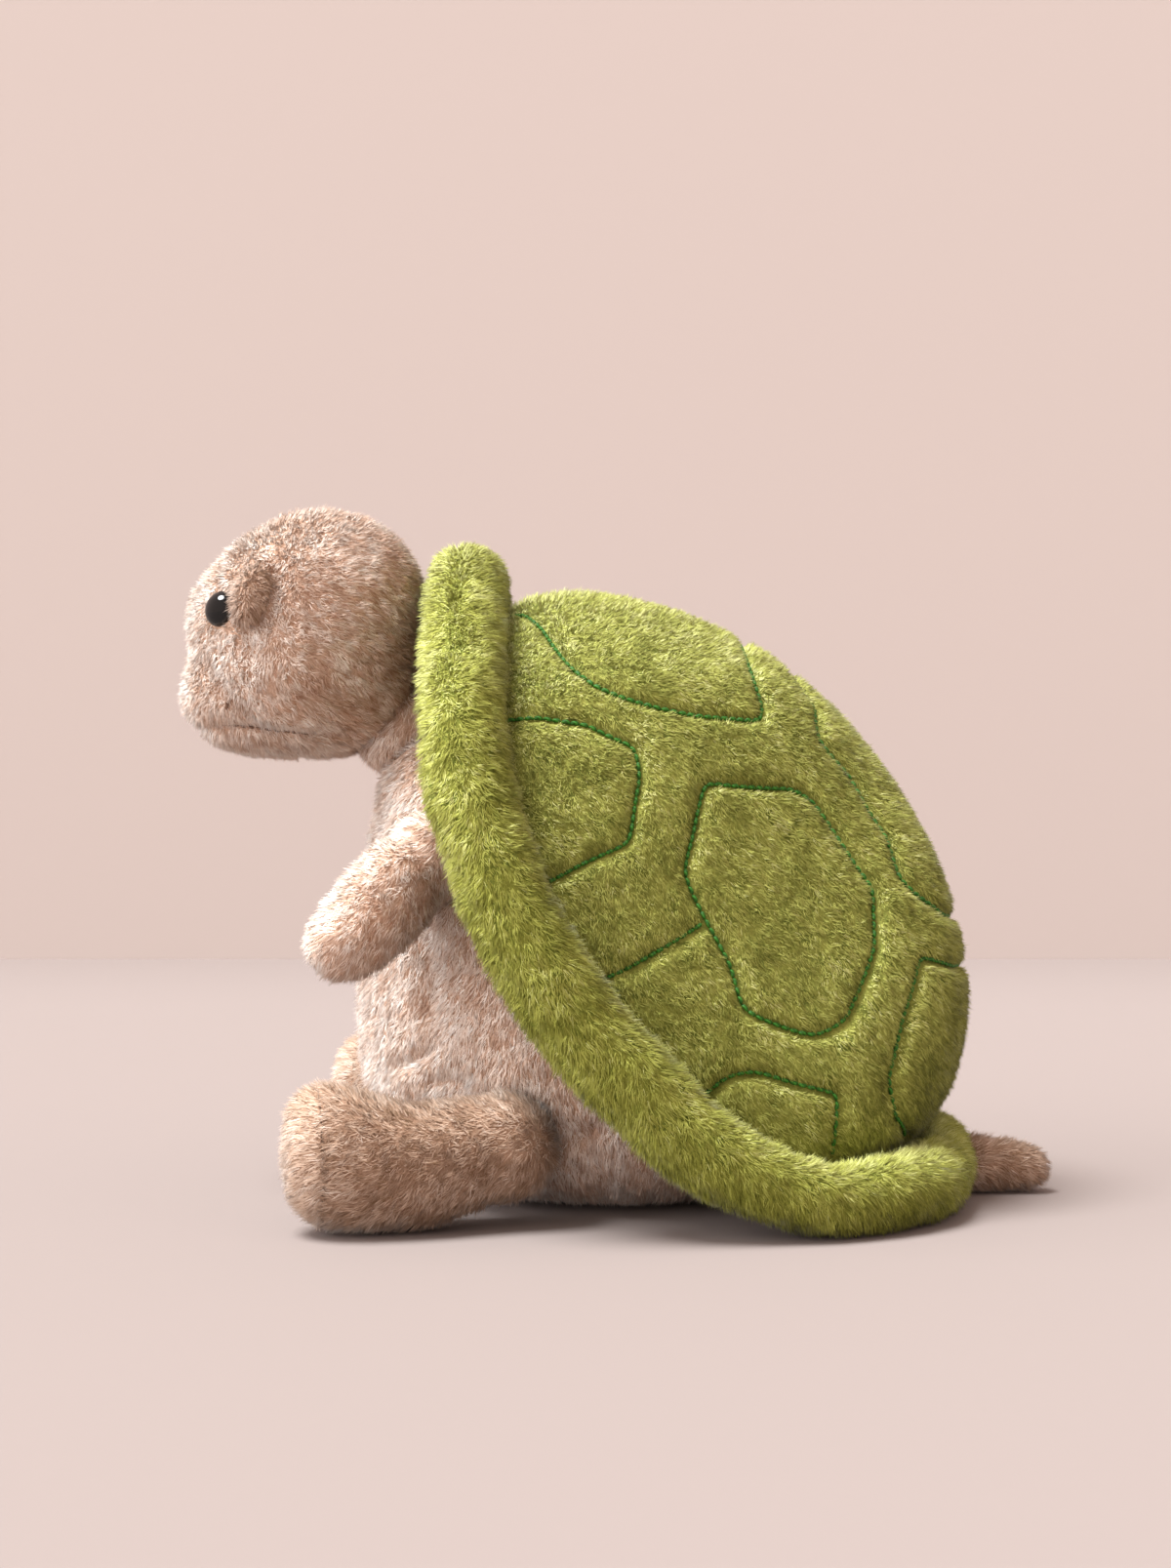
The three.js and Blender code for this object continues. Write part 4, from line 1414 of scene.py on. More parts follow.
@dataclass
class Head(Bag):
    """The head bag with its low snout, on a line that it turns and nods about.

    Heights on it are shares of its own height, and turns are degrees round it from the snout.
    """

    height: float = 103.0
    half_width: float = 49.0
    half_depth: float = 49.0
    wide_shares: tuple[float, ...] = (1.2, 1.08, 1.02, 1, 1, 1)
    deep_shares: tuple[float, ...] = (1.28, 1.12, 1.02, 1.035, 1, 0.98)
    lower_fullness: float = 2.4
    upper_fullness: float = 2.0
    centre_x: float = -119.0
    bottom: float = 177.0
    snout: float = 9.0
    snout_shares: tuple[float, ...] = (1, 1, 0.9, 0.8, 0.3, 0)
    pivot: tuple[float, float, float] = (-86.0, 0.0, 190.0)
    neck_radius: float = 22.0
    turn_reach: float = 20.0
    nod_reach: float = 15.0
    eye: tuple[float, float] = (0.585, 49.0)
    eye_sink: float = 3.6
    eye_radius: float = 7.2
    eye_crown: float = 5.2
    lid: tuple[float, float] = (0.62, 69.0)
    lid_half_height: float = 14.0
    lid_half_width: float = 9.0
    mouth_turn: float = 100.0
    crease_turn: float = 126.0
    mouth_shares: tuple[float, ...] = (0.07, 0.11, 0.13, 0.11, 0.07)
    nostril: tuple[float, float] = (0.2, 56.0)
    nap_parting: tuple[float, float] = (20.0, -60.0)
    nap_behind: tuple[float, float] = (1.0, -0.6)
    nap_ahead: tuple[float, float] = (0.5, -1.2)
    nap_spread: float = 0.012
    tufts: Tufts = Tufts(length=3.8, width=0.46, lean=48, per_square_mm=2.5, swirl=32, swirl_size=15)

    def place(self, along: np.ndarray, bearing: np.ndarray) -> Points:
        """The head's outer form; see ball_surface."""
        share = (along + 1) / 2
        deep, wide = self.halves(along)
        x = self.centre_x - self.snout * share_curve(self.snout_shares, share) + deep * np.cos(bearing)
        return np.stack([x, wide * np.sin(bearing), self.bottom + self.height * share], axis=1)

    def at(self, share: float, turn: float, side: float) -> tuple[Points, Points, Points]:
        """A place on the head's pile.

        Args:
            share: Its height.
            turn: How far round the head it is.
            side: -1 for the left, 1 for the right.

        Returns:
            The point, the outward direction and the upward direction along the surface.
        """
        step = 0.002
        angle = math.radians(turn)
        shares = np.array([share, share + step, share - step, share, share])
        turns = np.array([angle, angle, angle, angle + step, angle - step])
        bearing = np.arctan2(side * np.sin(turns), -np.cos(turns))
        rows = self.place(shares * 2 - 1, bearing)
        rise = unit(rows[1] - rows[2])
        normal = unit(np.cross(rise, rows[3] - rows[4]))
        outward = rows[0] - np.array([self.centre_x, 0, rows[0][2]])
        return rows[0], normal if normal @ outward > 0 else -normal, rise

    def axes_at(self, share: float, turn: float, side: float) -> tuple[Points, Points]:
        """A place and its three directions.

        Args:
            share: Its height.
            turn: How far round the head it is.
            side: -1 for the left, 1 for the right.

        Returns:
            The point, and rows of the directions across, upright and outward.
        """
        point, normal, rise = self.at(share, turn, side)
        across = unit(np.cross(rise, normal))
        return point, np.stack([across, np.cross(normal, across), normal])

    def form(self, rings: int = 64, sides: int = 88) -> Surface:
        """The outer form as a surface, to the tips of its pile."""
        return ball_surface(self.place, rings, sides)

    def neck_axis(self) -> Points:
        """The line that the head turns about."""
        middle = np.array([self.centre_x, 0, self.bottom + self.height / 2])
        return unit(middle - np.array(self.pivot))

    def swept(self) -> list[Solid]:
        """The head's form at the ends of its turn and nod."""
        form = self.form(28, 40)
        pivot = np.array(self.pivot)
        solids = []
        for turn in (-self.turn_reach, 0.0, self.turn_reach):
            for nod in (0.0, self.nod_reach):
                points = turned_about(form.points, pivot, np.array([0.0, -1.0, 0.0]), nod)
                points = turned_about(points, pivot, self.neck_axis(), turn)
                solids.append(Solid(Surface(points, form.faces)))
        return solids

    def mouth(self, over: float, reach: float) -> Points:
        """The mouth's route.

        Args:
            over: Its height over the pile's tips, in millimetres.
            reach: How far round the head it runs on each side.

        Returns:
            Close points along it.
        """
        turns = np.linspace(-reach, reach, 13)
        heights = share_curve(self.mouth_shares, (turns / self.mouth_turn + 1) / 2)
        corners = []
        for turn, height in zip(turns, heights, strict=True):
            point, normal, _ = self.at(float(height), abs(turn), 1.0 if turn >= 0 else -1.0)
            corners.append(point + normal * over)
        return seam_curve(np.array(corners))

    def ring(
        self, centre: tuple[float, float], halves: Sequence[float], span: Sequence[float], side: float
    ) -> Points:
        """An oval route on the head, as round an eye or a lid.

        Args:
            centre: Its middle's height and turn.
            halves: Half its width and half its height, in millimetres.
            span: Where it starts and ends, in degrees from the back over the top.
            side: -1 for the left, 1 for the right.

        Returns:
            Close points along it, on the pile's tips.
        """
        point, normal, rise = self.at(*centre, side)
        back = unit(np.cross(rise, normal)) * -side
        angle = np.radians(np.linspace(*span, 33))
        return point + np.outer(halves[0] * np.cos(angle), back) + np.outer(halves[1] * np.sin(angle), rise)

    def comb(self, points: Points, normals: Points) -> Points:
        """Pile brushed back over the crown and down over the cheeks."""
        behind, ahead = self.nap_parting
        share = smooth_step(self.centre_x + behind, self.centre_x + ahead, points[:, 0])
        back, rise = (a + (b - a) * share for a, b in zip(self.nap_behind, self.nap_ahead, strict=True))
        return np.stack([back, self.nap_spread * points[:, 1], rise], axis=1)


# Limbs


@dataclass
class Limb:
    """A stuffed limb along a curved route, with a ball at its root that turns in the body."""

    pivot: tuple[float, float, float]
    tip: tuple[float, float, float]
    radius: float
    bend_share: float
    wide: tuple[float, ...]
    tall: tuple[float, ...]
    fullness: float
    level: bool
    root_share: float = 0.7
    bend_drop: float = 0.0
    lift: float = 0.0
    lift_share: float = 0.45
    root_blend: float = 2.5
    sag: float = 0.5
    nap_drop: float = 0.35
    sunk: float = 0.0

    def sunk_by(self, depth: float) -> "Limb":
        """The same limb as it lies a depth under its pile's tips, in millimetres."""
        return replace(self, sunk=depth)

    def route(self, place: np.ndarray) -> tuple[Points, Points]:
        """The limb's middle line.

        Args:
            place: From 0 behind the joint to 1 at the tip.

        Returns:
            Points on it and its headings.
        """
        pivot, tip = np.array(self.pivot), np.array(self.tip)
        bend = pivot + (tip - pivot) * self.bend_share
        bend[1] += (tip[1] - bend[1]) * self.bend_share
        bend[2] -= self.bend_drop
        start = pivot - unit(bend - pivot) * self.radius * self.root_share
        share = place[:, None]
        points = start * (1 - share) ** 2 + bend * 2 * share * (1 - share) + tip * share**2
        heading = unit((bend - start) * (1 - share) + (tip - bend) * share)
        return points, heading

    def place(self, along: np.ndarray, bearing: np.ndarray, width: np.ndarray) -> Points:
        """The limb's form.

        Args:
            along: From -1 behind the joint to 1 at the tip.
            bearing: The angle round it.
            width: How far out from its middle line, as a share.

        Returns:
            Points, in millimetres.
        """
        length = float(np.linalg.norm(np.array(self.tip) - np.array(self.pivot)))
        share = (along * (1 - 2 * self.sunk / (length + self.radius)) + 1) / 2
        centre, heading = self.route(share)
        tall = share_curve(self.tall, share)
        if self.level:
            up = np.broadcast_to(UP, centre.shape)
            centre[:, 2] = tall - self.sag + self.lift * (1 - smooth_step(0.0, self.lift_share, share))
        else:
            up = unit(np.cross(np.broadcast_to([0.0, 1.0, 0.0], centre.shape), heading))
        across = unit(np.cross(heading, up))
        full = np.maximum(1 - np.abs(along) ** self.fullness, 0) ** (1 / self.fullness)
        wide = share_curve(self.wide, share) - self.sunk
        sideways = across * (wide * full * width * np.sin(bearing))[:, None]
        return centre + sideways + up * ((tall - self.sunk) * full * width * np.cos(bearing))[:, None]

    def form(
        self, rings: int = 48, sides: int = 56, span: tuple[float, float] = (-1.0, 1.0), flat: float = 0.06
    ) -> Surface:
        """The form as a surface, with the ball at its root.

        Args:
            rings: Rows of faces.
            sides: Faces round each row.
            span: Which part of the limb, from -1 to 1; an end inside the limb is closed flat.
            flat: The share of the rows that a flat end takes.

        Returns:
            The surface.
        """
        first, last = span
        before = flat if first > -1 else 0.0
        after = flat if last < 1 else 0.0

        def part(along: np.ndarray, bearing: np.ndarray) -> Points:
            """See ball_surface."""
            share = np.clip((along + 1 - before) / (2 - before - after), 0, 1)
            width = np.ones_like(along)
            if before:
                width = np.minimum(width, np.sqrt(np.clip((along + 1) / before, 0, 1)))
            if after:
                width = np.minimum(width, np.sqrt(np.clip((1 - along) / after, 0, 1)))
            return self.place(first + (last - first) * share, bearing, width)

        surface = ball_surface(part, rings, sides)
        ball = self.radius - self.sunk
        surface.points = onto_ball(surface.points, np.array(self.pivot), ball, self.root_blend)
        return surface

    def comb(self, points: Points, normals: Points) -> Points:
        """Pile brushed from the root to the tip, and down."""
        heading = unit(np.array(self.tip) - np.array(self.pivot))
        return np.broadcast_to(heading - self.nap_drop * UP, points.shape)


def arm_limb(side: Side) -> Limb:
    """The arm on one side."""
    y = side.value
    radius = 18.0
    shares = np.array([0.76, 0.89, 0.98, 0.99, 0.95]) * radius
    return Limb(
        pivot=(-68.0, y * 66.0, 140.0),
        tip=(-114.0, y * 93.0, 99.0),
        radius=radius,
        bend_share=0.55,
        wide=tuple(shares),
        tall=tuple(shares),
        fullness=2.4,
        level=False,
        bend_drop=4.0,
    )


def leg_limb(side: Side) -> Limb:
    """The leg on one side."""
    y = side.value
    radius, foot, lift = 21.0, 31.0, 9.0
    return Limb(
        pivot=(-42.0, y * 81.0, 29.5),
        tip=(-124.0, y * 103.0, 29.5),
        radius=radius,
        bend_share=0.6,
        wide=tuple(np.array([0.96, 1.04, 1.16, 1.24, 1.24]) * radius),
        tall=tuple(radius + (foot - radius) * np.array([0.1, 0.3, 0.45, 0.85, 1])),
        fullness=3.0,
        level=True,
        lift=lift,
    )


def tail_limb() -> Limb:
    """The tail, behind the rim."""
    radius = 12.0
    shares = np.array([1, 1, 0.97, 0.92, 0.86]) * radius
    return Limb(
        pivot=(145.987, 0.0, 11.5),
        tip=(176.987, 0.0, 11.5),
        radius=radius,
        bend_share=0.5,
        wide=tuple(shares),
        tall=tuple(shares),
        fullness=3.0,
        level=True,
    )


# Shell


@dataclass
class ShellFrame:
    """The shell's own directions and its rim route; every share is of its half length, width and droop."""

    centre: tuple[float, float, float] = (37.0, 0.0, 132.0)
    tilt: float = 50.6
    half_length: float = 148.0
    half_width: float = 115.0
    droop: float = 72.0
    dome_height: float = 84.0
    dome_length: float = 0.905
    dome_width: float = 0.87
    rim_radius: float = 18.0
    crest_lift: float = 2.8
    crest_reach: float = 0.2
    front_slump: float = 3.6
    slump_end: float = 0.85
    hem_share: float = 0.18
    seam_angle: float = -40.0
    rim_shares: tuple[tuple[float, float, float], ...] = (
        (-1.015, 0, -0.04),
        (-0.8, 0.63, -0.38),
        (-0.58, 0.86, -0.68),
        (-0.34, 0.965, -0.88),
        (-0.08, 1, -1),
        (0.25, 1, -1),
        (0.5, 0.99, -0.93),
        (0.77, 0.92, -0.645),
        (0.93, 0.68, -0.265),
        (1, 0.3, -0.075),
        (1, 0, -0.02),
    )
    roll_shares: tuple[float, ...] = (0.97, 0.98, 1, 1, 1, 1, 0.97, 1, 0.98, 0.92, 0.92)
    squash_shares: tuple[float, ...] = (1, 1, 1, 1, 1, 1, 0.98, 0.8, 0.82, 0.97, 1)

    def in_turtle(self, local: Points) -> Points:
        """Turns along, across and out into the turtle's frame."""
        angle = math.radians(self.tilt)
        axes = np.array(
            [
                [math.cos(angle), 0, -math.sin(angle)],
                [0, 1, 0],
                [math.sin(angle), 0, math.cos(angle)],
            ]
        )
        return np.array(self.centre) + local @ axes

    def direction(self, way: int) -> Points:
        """The direction along, across or out of the shell, by its number from 0."""
        return self.in_turtle(np.eye(3)[[way]])[0] - np.array(self.centre)

    def outline(self) -> Points:
        """The rim's corners in the shell's frame, all the way round from its top."""
        sizes = np.array([self.half_length, self.half_width, self.droop])
        one = np.array(self.rim_shares) * sizes
        other = one[1:-1][::-1] * np.array([1, -1, 1])
        return np.vstack([one, other])

    def edge(self, place: np.ndarray) -> Points:
        """The rim's middle line in the shell's frame; see closed_curve."""
        return closed_curve(self.outline(), place)

    def route(self, place: np.ndarray) -> Points:
        """The rim's middle line in the turtle's frame; see closed_curve."""
        return self.in_turtle(self.edge(place))

    def dome(self, edge: Points, reach: np.ndarray, rise: np.ndarray, depth: np.ndarray | float) -> Points:
        """A place on the dome.

        Args:
            edge: The rim's middle line on that bearing.
            reach: From 0 at the crown to 1 at the rim.
            rise: From 0 at the rim to 1 at the crown; below 0 on the underside.
            depth: How far under the pile's tips, in millimetres.

        Returns:
            Points in the turtle's frame.
        """
        along = edge[:, 0] * self.dome_length
        across = edge[:, 1] * self.dome_width
        aside = np.hypot(along, across)
        inward = 1 - depth / aside
        up = np.arcsin(np.clip(rise, 0, 1)) / (math.pi / 2)
        sag = (1 - np.cos(2 * math.pi * np.clip(up / self.slump_end, 0, 1))) / 2
        sag = self.front_slump * sag * np.clip(-along / aside, 0, 1) ** 2
        local = [
            along * inward * reach,
            across * inward * reach,
            edge[:, 2] * reach**2 + (self.dome_height - depth) * rise - sag,
        ]
        return self.in_turtle(np.stack(local, axis=1))

    def on_dome(self, shares: Points, side: float, over: float) -> Points:
        """Corners of a seam.

        Args:
            shares: How far round from the rim's top to its rear, and how far up the dome.
            side: -1 for the left, 1 for the right.
            over: Their height over the pile's tips, in millimetres.

        Returns:
            The corners.
        """
        rows = np.asarray(shares, float)
        edge = self.edge(rows[:, 0] / 2) * np.array([1, side, 1])
        angle = rows[:, 1] * math.pi / 2
        return self.dome(edge, np.cos(angle), np.sin(angle), -over)

    def cushion(self, depth: float, bowl: float, rings: int, sides: int) -> Surface:
        """The whole cushion under the dome.

        Args:
            depth: How far under the pile's tips its top lies, in millimetres.
            bowl: How deep its underside is.
            rings: Rows of faces from pole to pole.
            sides: Faces round each row.

        Returns:
            The surface.
        """

        def place(along: np.ndarray, bearing: np.ndarray) -> Points:
            """See ball_surface; the bearing starts at the rim's top."""
            edge = self.edge(bearing / (2 * math.pi))
            reach = np.sqrt(np.maximum(1 - along**2, 0))
            full = self.dome_height - depth
            rise = np.where(along > 0, along, along * bowl / full)
            return self.dome(edge, reach, rise, depth)

        return ball_surface(place, rings, sides)

    def cover(self, depth: float, thickness: float, rings: int, sides: int) -> Surface:
        """The cover as a thin bowl: its outside, and its inside a cloth's thickness below.

        Args:
            depth: How far under the pile's tips its outside lies, in millimetres.
            thickness: The cloth's thickness.
            rings: Rows of faces from the crown outside to the crown inside.
            sides: Faces round each row.

        Returns:
            The surface.
        """

        def place(along: np.ndarray, bearing: np.ndarray) -> Points:
            """See ball_surface; below 0 is the inside of the bowl."""
            edge = self.edge(bearing / (2 * math.pi))
            reach = np.sqrt(np.maximum(1 - along**2, 0))
            under = depth + thickness * smooth_step(0.0, self.hem_share, -along)
            return self.dome(edge, reach, np.abs(along), under)

        return ball_surface(place, rings, sides)

    def rim_rings(self, depth: float, place: np.ndarray, around: np.ndarray) -> Points:
        """Rings of points on the rim roll.

        Args:
            depth: How far under its pile's tips, in millimetres.
            place: Where along it; whole numbers are one round.
            around: Angles round it, from its outer side towards the dome.

        Returns:
            Points, as rings x angles x 3.
        """
        centre = self.route(place)
        step = 0.002
        heading = unit(self.route(place + step) - self.route(place - step))
        middle = self.route(np.arange(64) / 64).mean(axis=0)
        outward = unit(centre - middle)
        outward = unit(outward - (outward * heading).sum(axis=1, keepdims=True) * heading)
        over = np.cross(heading, outward)
        over = over * np.where(over @ self.direction(2) < 0, -1.0, 1.0)[:, None]
        from_top = 1 - np.abs(1 - 2 * np.mod(place, 1.0))
        crest = 1 - smooth_step(0.0, self.crest_reach, from_top)
        centre = centre + crest[:, None] * self.crest_lift * UP
        radius = self.rim_radius * share_curve(self.roll_shares, from_top) - depth
        turn = around[None, :, None]
        rows = (outward[:, None] * np.cos(turn) + over[:, None] * np.sin(turn)) * radius[:, None, None]
        rows[..., 2] *= share_curve(self.squash_shares, from_top)[:, None]
        return rows + centre[:, None]

    def rim_seam(self, depth: float) -> Points:
        """The seam along the front of the roll, a depth under its pile's tips."""
        place = np.linspace(0, 1, 161)
        return self.rim_rings(depth, place, np.radians([self.seam_angle]))[:, 0]

    def rim(self, depth: float, stations: int, sides: int) -> Surface:
        """The rim roll, a depth under its pile's tips, with rows of faces along it and round it."""
        place = np.arange(stations) / stations
        return ring_surface(self.rim_rings(depth, place, full_turn(sides)))


# Room and seams

CLOTH_DEPTH = 2.6
HEAD_CLOTH_DEPTH = 2.5
RIM_CLOTH_DEPTH = 3.0
CLOTH_GAP = 1.7
CLOTH_REST = 0.5

Seam = tuple[tuple[float, float], ...]

# The corners of each seam, as shares: how far round from the rim's top to its rear, and how far up
# the dome.
SPINE_SEAMS: dict[str, Seam] = {
    "spine_front": (
        *((0.012, 0.03), (0.025, 0.11), (0.05, 0.18), (0.125, 0.32), (0.145, 0.37)),
        *((0.2, 0.52), (0.235, 0.65), (0.2, 0.67), (0, 0.69)),
    ),
    "spine_middle": (
        *((0, 0.8), (0.16, 0.83), (0.32, 0.77), (0.46, 0.78)),
        *((0.64, 0.73), (0.68, 0.66), (0.82, 0.61), (1, 0.6)),
    ),
    "spine_rear": (
        *((0.85, 0.03), (0.78, 0.14), (0.74, 0.26), (0.73, 0.39)),
        *((0.74, 0.52), (0.83, 0.5), (1, 0.49)),
    ),
}
SIDE_SEAMS: dict[str, Seam] = {
    "side_front": (
        *((0.12, 0.04), (0.14, 0.17), (0.17, 0.29), (0.22, 0.38)),
        *((0.26, 0.37), (0.33, 0.3), (0.32, 0.2), (0.31, 0.03)),
    ),
    "side_middle": (
        *((0.31, 0.48), (0.4, 0.63), (0.44, 0.65), (0.56, 0.63), (0.63, 0.61), (0.66, 0.51)),
        *((0.66, 0.36), (0.64, 0.31), (0.55, 0.28), (0.5, 0.32), (0.4, 0.36), (0.37, 0.41)),
    ),
    "side_link": ((0.42, 0.03), (0.435, 0.15), (0.452, 0.33)),
    "side_rear": ((0.58, 0.03), (0.59, 0.16), (0.61, 0.2), (0.69, 0.22), (0.71, 0.14), (0.735, 0.03)),
}
CLOSED_SEAMS = ("side_middle",)
WALK_STEP = 0.006
WALK_SMOOTHINGS = 6


def walked(shares: Seam, closed: bool = False) -> Points:
    """Straight runs between corners, in close steps and with slightly rounded corners.

    Args:
        shares: The corners.
        closed: True if the last corner joins the first.

    Returns:
        The steps; a closed route ends where it starts.
    """
    corners = np.array(shares, float)
    if closed:
        corners = np.vstack([corners, corners[:1]])
    steps = []
    for first, second in itertools.pairwise(corners):
        count = max(2, round(float(np.linalg.norm(second - first)) / WALK_STEP))
        steps.append(first + (second - first) * np.linspace(0, 1, count, endpoint=False)[:, None])
    route = np.vstack([*steps, corners[-1:]])
    for _ in range(WALK_SMOOTHINGS):
        smooth = route.copy()
        smooth[1:-1] = (route[:-2] + 2 * route[1:-1] + route[2:]) / 4
        if closed:
            smooth[0] = smooth[-1] = (route[-2] + 2 * route[0] + route[1]) / 4
        route = smooth
    return route


def shell_seams(shell: ShellFrame, over: float) -> dict[str, Points]:
    """The routes of the seams between the scutes.

    Args:
        shell: The shell's frame.
        over: Their height over the pile's tips, in millimetres.

    Returns:
        Close points along each seam, by the end of its CAD node's name.
    """
    routes = {}
    for name, shares in SPINE_SEAMS.items():
        left = shell.on_dome(walked(shares), -1, over)
        right = shell.on_dome(walked(shares), 1, over)[::-1][1:]
        routes[name] = np.vstack([left, right])
    for side in Side:
        for name, shares in SIDE_SEAMS.items():
            steps = walked(shares, name in CLOSED_SEAMS)
            routes[f"{name}_{side.label}"] = shell.on_dome(steps, side.value, over)
    return routes


class Room:
    """The outer forms of all the bags, as solids that neighbours keep clear of."""

    def __init__(self) -> None:
        """Makes the sub-assemblies' forms once."""
        self.body = BodyBag()
        self.head = Head()
        self.arms = {side: arm_limb(side) for side in Side}
        self.legs = {side: leg_limb(side) for side in Side}
        self.tail = tail_limb()
        self.shell = ShellFrame()
        self.neck_pivot = np.array(self.head.pivot)
        self.body_solid = Solid(self.body.form())
        self.head_solid = Solid(self.head.form())
        self.head_sweep = self.head.swept()
        self.arm_solids = {side: Solid(limb.form()) for side, limb in self.arms.items()}
        self.leg_solids = {side: Solid(limb.form()) for side, limb in self.legs.items()}
        self.tail_solid = Solid(self.tail.form())
        self.dome_solid = Solid(self.shell.cushion(0.0, 34.0, 48, 72))
        self.rim_solid = Solid(self.shell.rim(0.0, 160, 24))

    def limbs(self) -> list[Solid]:
        """The arms and legs."""
        return [*self.arm_solids.values(), *self.leg_solids.values()]


# Sub-assemblies


def add_wadding(name: str, surface: Surface, body: str, node: str, fill: float) -> None:
    """Adds a bag's stuffing; see add_piece."""
    add_piece(name, surface, WADDING.material(), body, "fibre_fill", node, fill)


@dataclass
class TorsoMaker:
    """The body's skin, stuffing and seat bag; lengths in millimetres.

    Each fold is a route on the flank, as X and Z, and its depth and half width.
    """

    room: Room
    socket_gap: float = 1.0
    bare_depth: float = 2.5
    head_overlap: float = 1.2
    pellet_halves: tuple[float, float, float] = (56.0, 48.0, 26.0)
    pellet_rest: float = 5.2
    pellet_flat: float = 1.5
    pellet_gap: float = 1.5
    folds: tuple[tuple[tuple[tuple[float, float], ...], float, float], ...] = (
        (((-24, 31), (-12, 35), (0, 40), (10, 42)), 3.0, 3.6),
        (((-88, 56), (-80, 59), (-72, 65)), 3.2, 2.6),
        (((-72, 52), (-64, 54), (-58, 53)), 2.4, 2.6),
        (((-78, 118), (-74, 104), (-72, 92), (-74, 80)), 3.4, 7.0),
        (((-48, 150), (-40, 130), (-34, 112)), 2.0, 8.0),
    )

    def surface(self, depth: float, rings: int, sides: int) -> Surface:
        """The body's form, dented for the head, the neck and the limbs.

        Args:
            depth: How far under the pile's tips it lies, in millimetres.
            rings: Rows of faces.
            sides: Faces round each row.

        Returns:
            The surface.
        """
        room = self.room
        gap = depth - CLOTH_DEPTH + self.socket_gap
        surface = room.body.form(rings, sides).moved(-depth)
        for side in Side:
            for places, press, width in self.folds:
                fold = resampled(room.body.on_flank(places, side.value, depth), 3.0)
                surface = creased(surface, [fold], press, width)
        surface.points = pushed_out(surface.points, room.head_sweep, gap, -UP)
        surface.points = out_of_ball(surface.points, room.neck_pivot, room.head.neck_radius + gap, -UP)
        for limbs in (room.arms, room.legs):
            for side, limb in limbs.items():
                inward = np.array([0.0, -float(side.value), 0.0])
                surface.points = out_of_ball(surface.points, np.array(limb.pivot), limb.radius + gap, inward)
        return grounded(surface, depth - CLOTH_DEPTH + CLOTH_REST)

    def build(self) -> None:
        """Makes and dresses the body's pieces."""
        room = self.room
        skin = self.surface(CLOTH_DEPTH, 110, 150)
        neighbours = [room.head_solid, *room.limbs(), room.dome_solid, room.rim_solid]
        covered = any_deeper(neighbours, self.bare_depth)
        swept = any_deeper(room.head_sweep, -self.head_overlap)
        nap = Nap(comb=room.body.comb, hidden=either(covered, swept, at_floor), seed=11)
        bag = PlushBag("body_{}", "torso", "taupe_plush", "body_skin", TAUPE_PILE, fill=0.8)
        bag.sew(skin, room.body.tufts, nap)

        stuffing = lumpy(self.surface(CLOTH_DEPTH + 2 * CLOTH_GAP, 40, 56), 0.8, 14, 5)
        stuffing.points = pushed_out(stuffing.points, [Solid(self.pellets(self.pellet_gap))], 0.0, UP)
        add_wadding("body_wadding", stuffing, "torso", "body_filling", fill=0.7)
        bag, cloth = self.pellets(0), PELLET_CLOTH.material()
        add_piece("seat_pellets", bag, cloth, "torso", "pellet_cloth", "seat_pellet_bag", fill=0.6)

    def pellets(self, clearance: float) -> Surface:
        """The bag of pellets that steadies the seat: a low cushion, knobbly with its pellets."""
        form = pillow(self.pellet_rest * UP, np.array(self.pellet_halves) + clearance)
        surface = lumpy(ball_surface(form, 32, 44), 0.6, 5, 9)
        return grounded(surface, self.pellet_rest + self.pellet_flat - clearance)


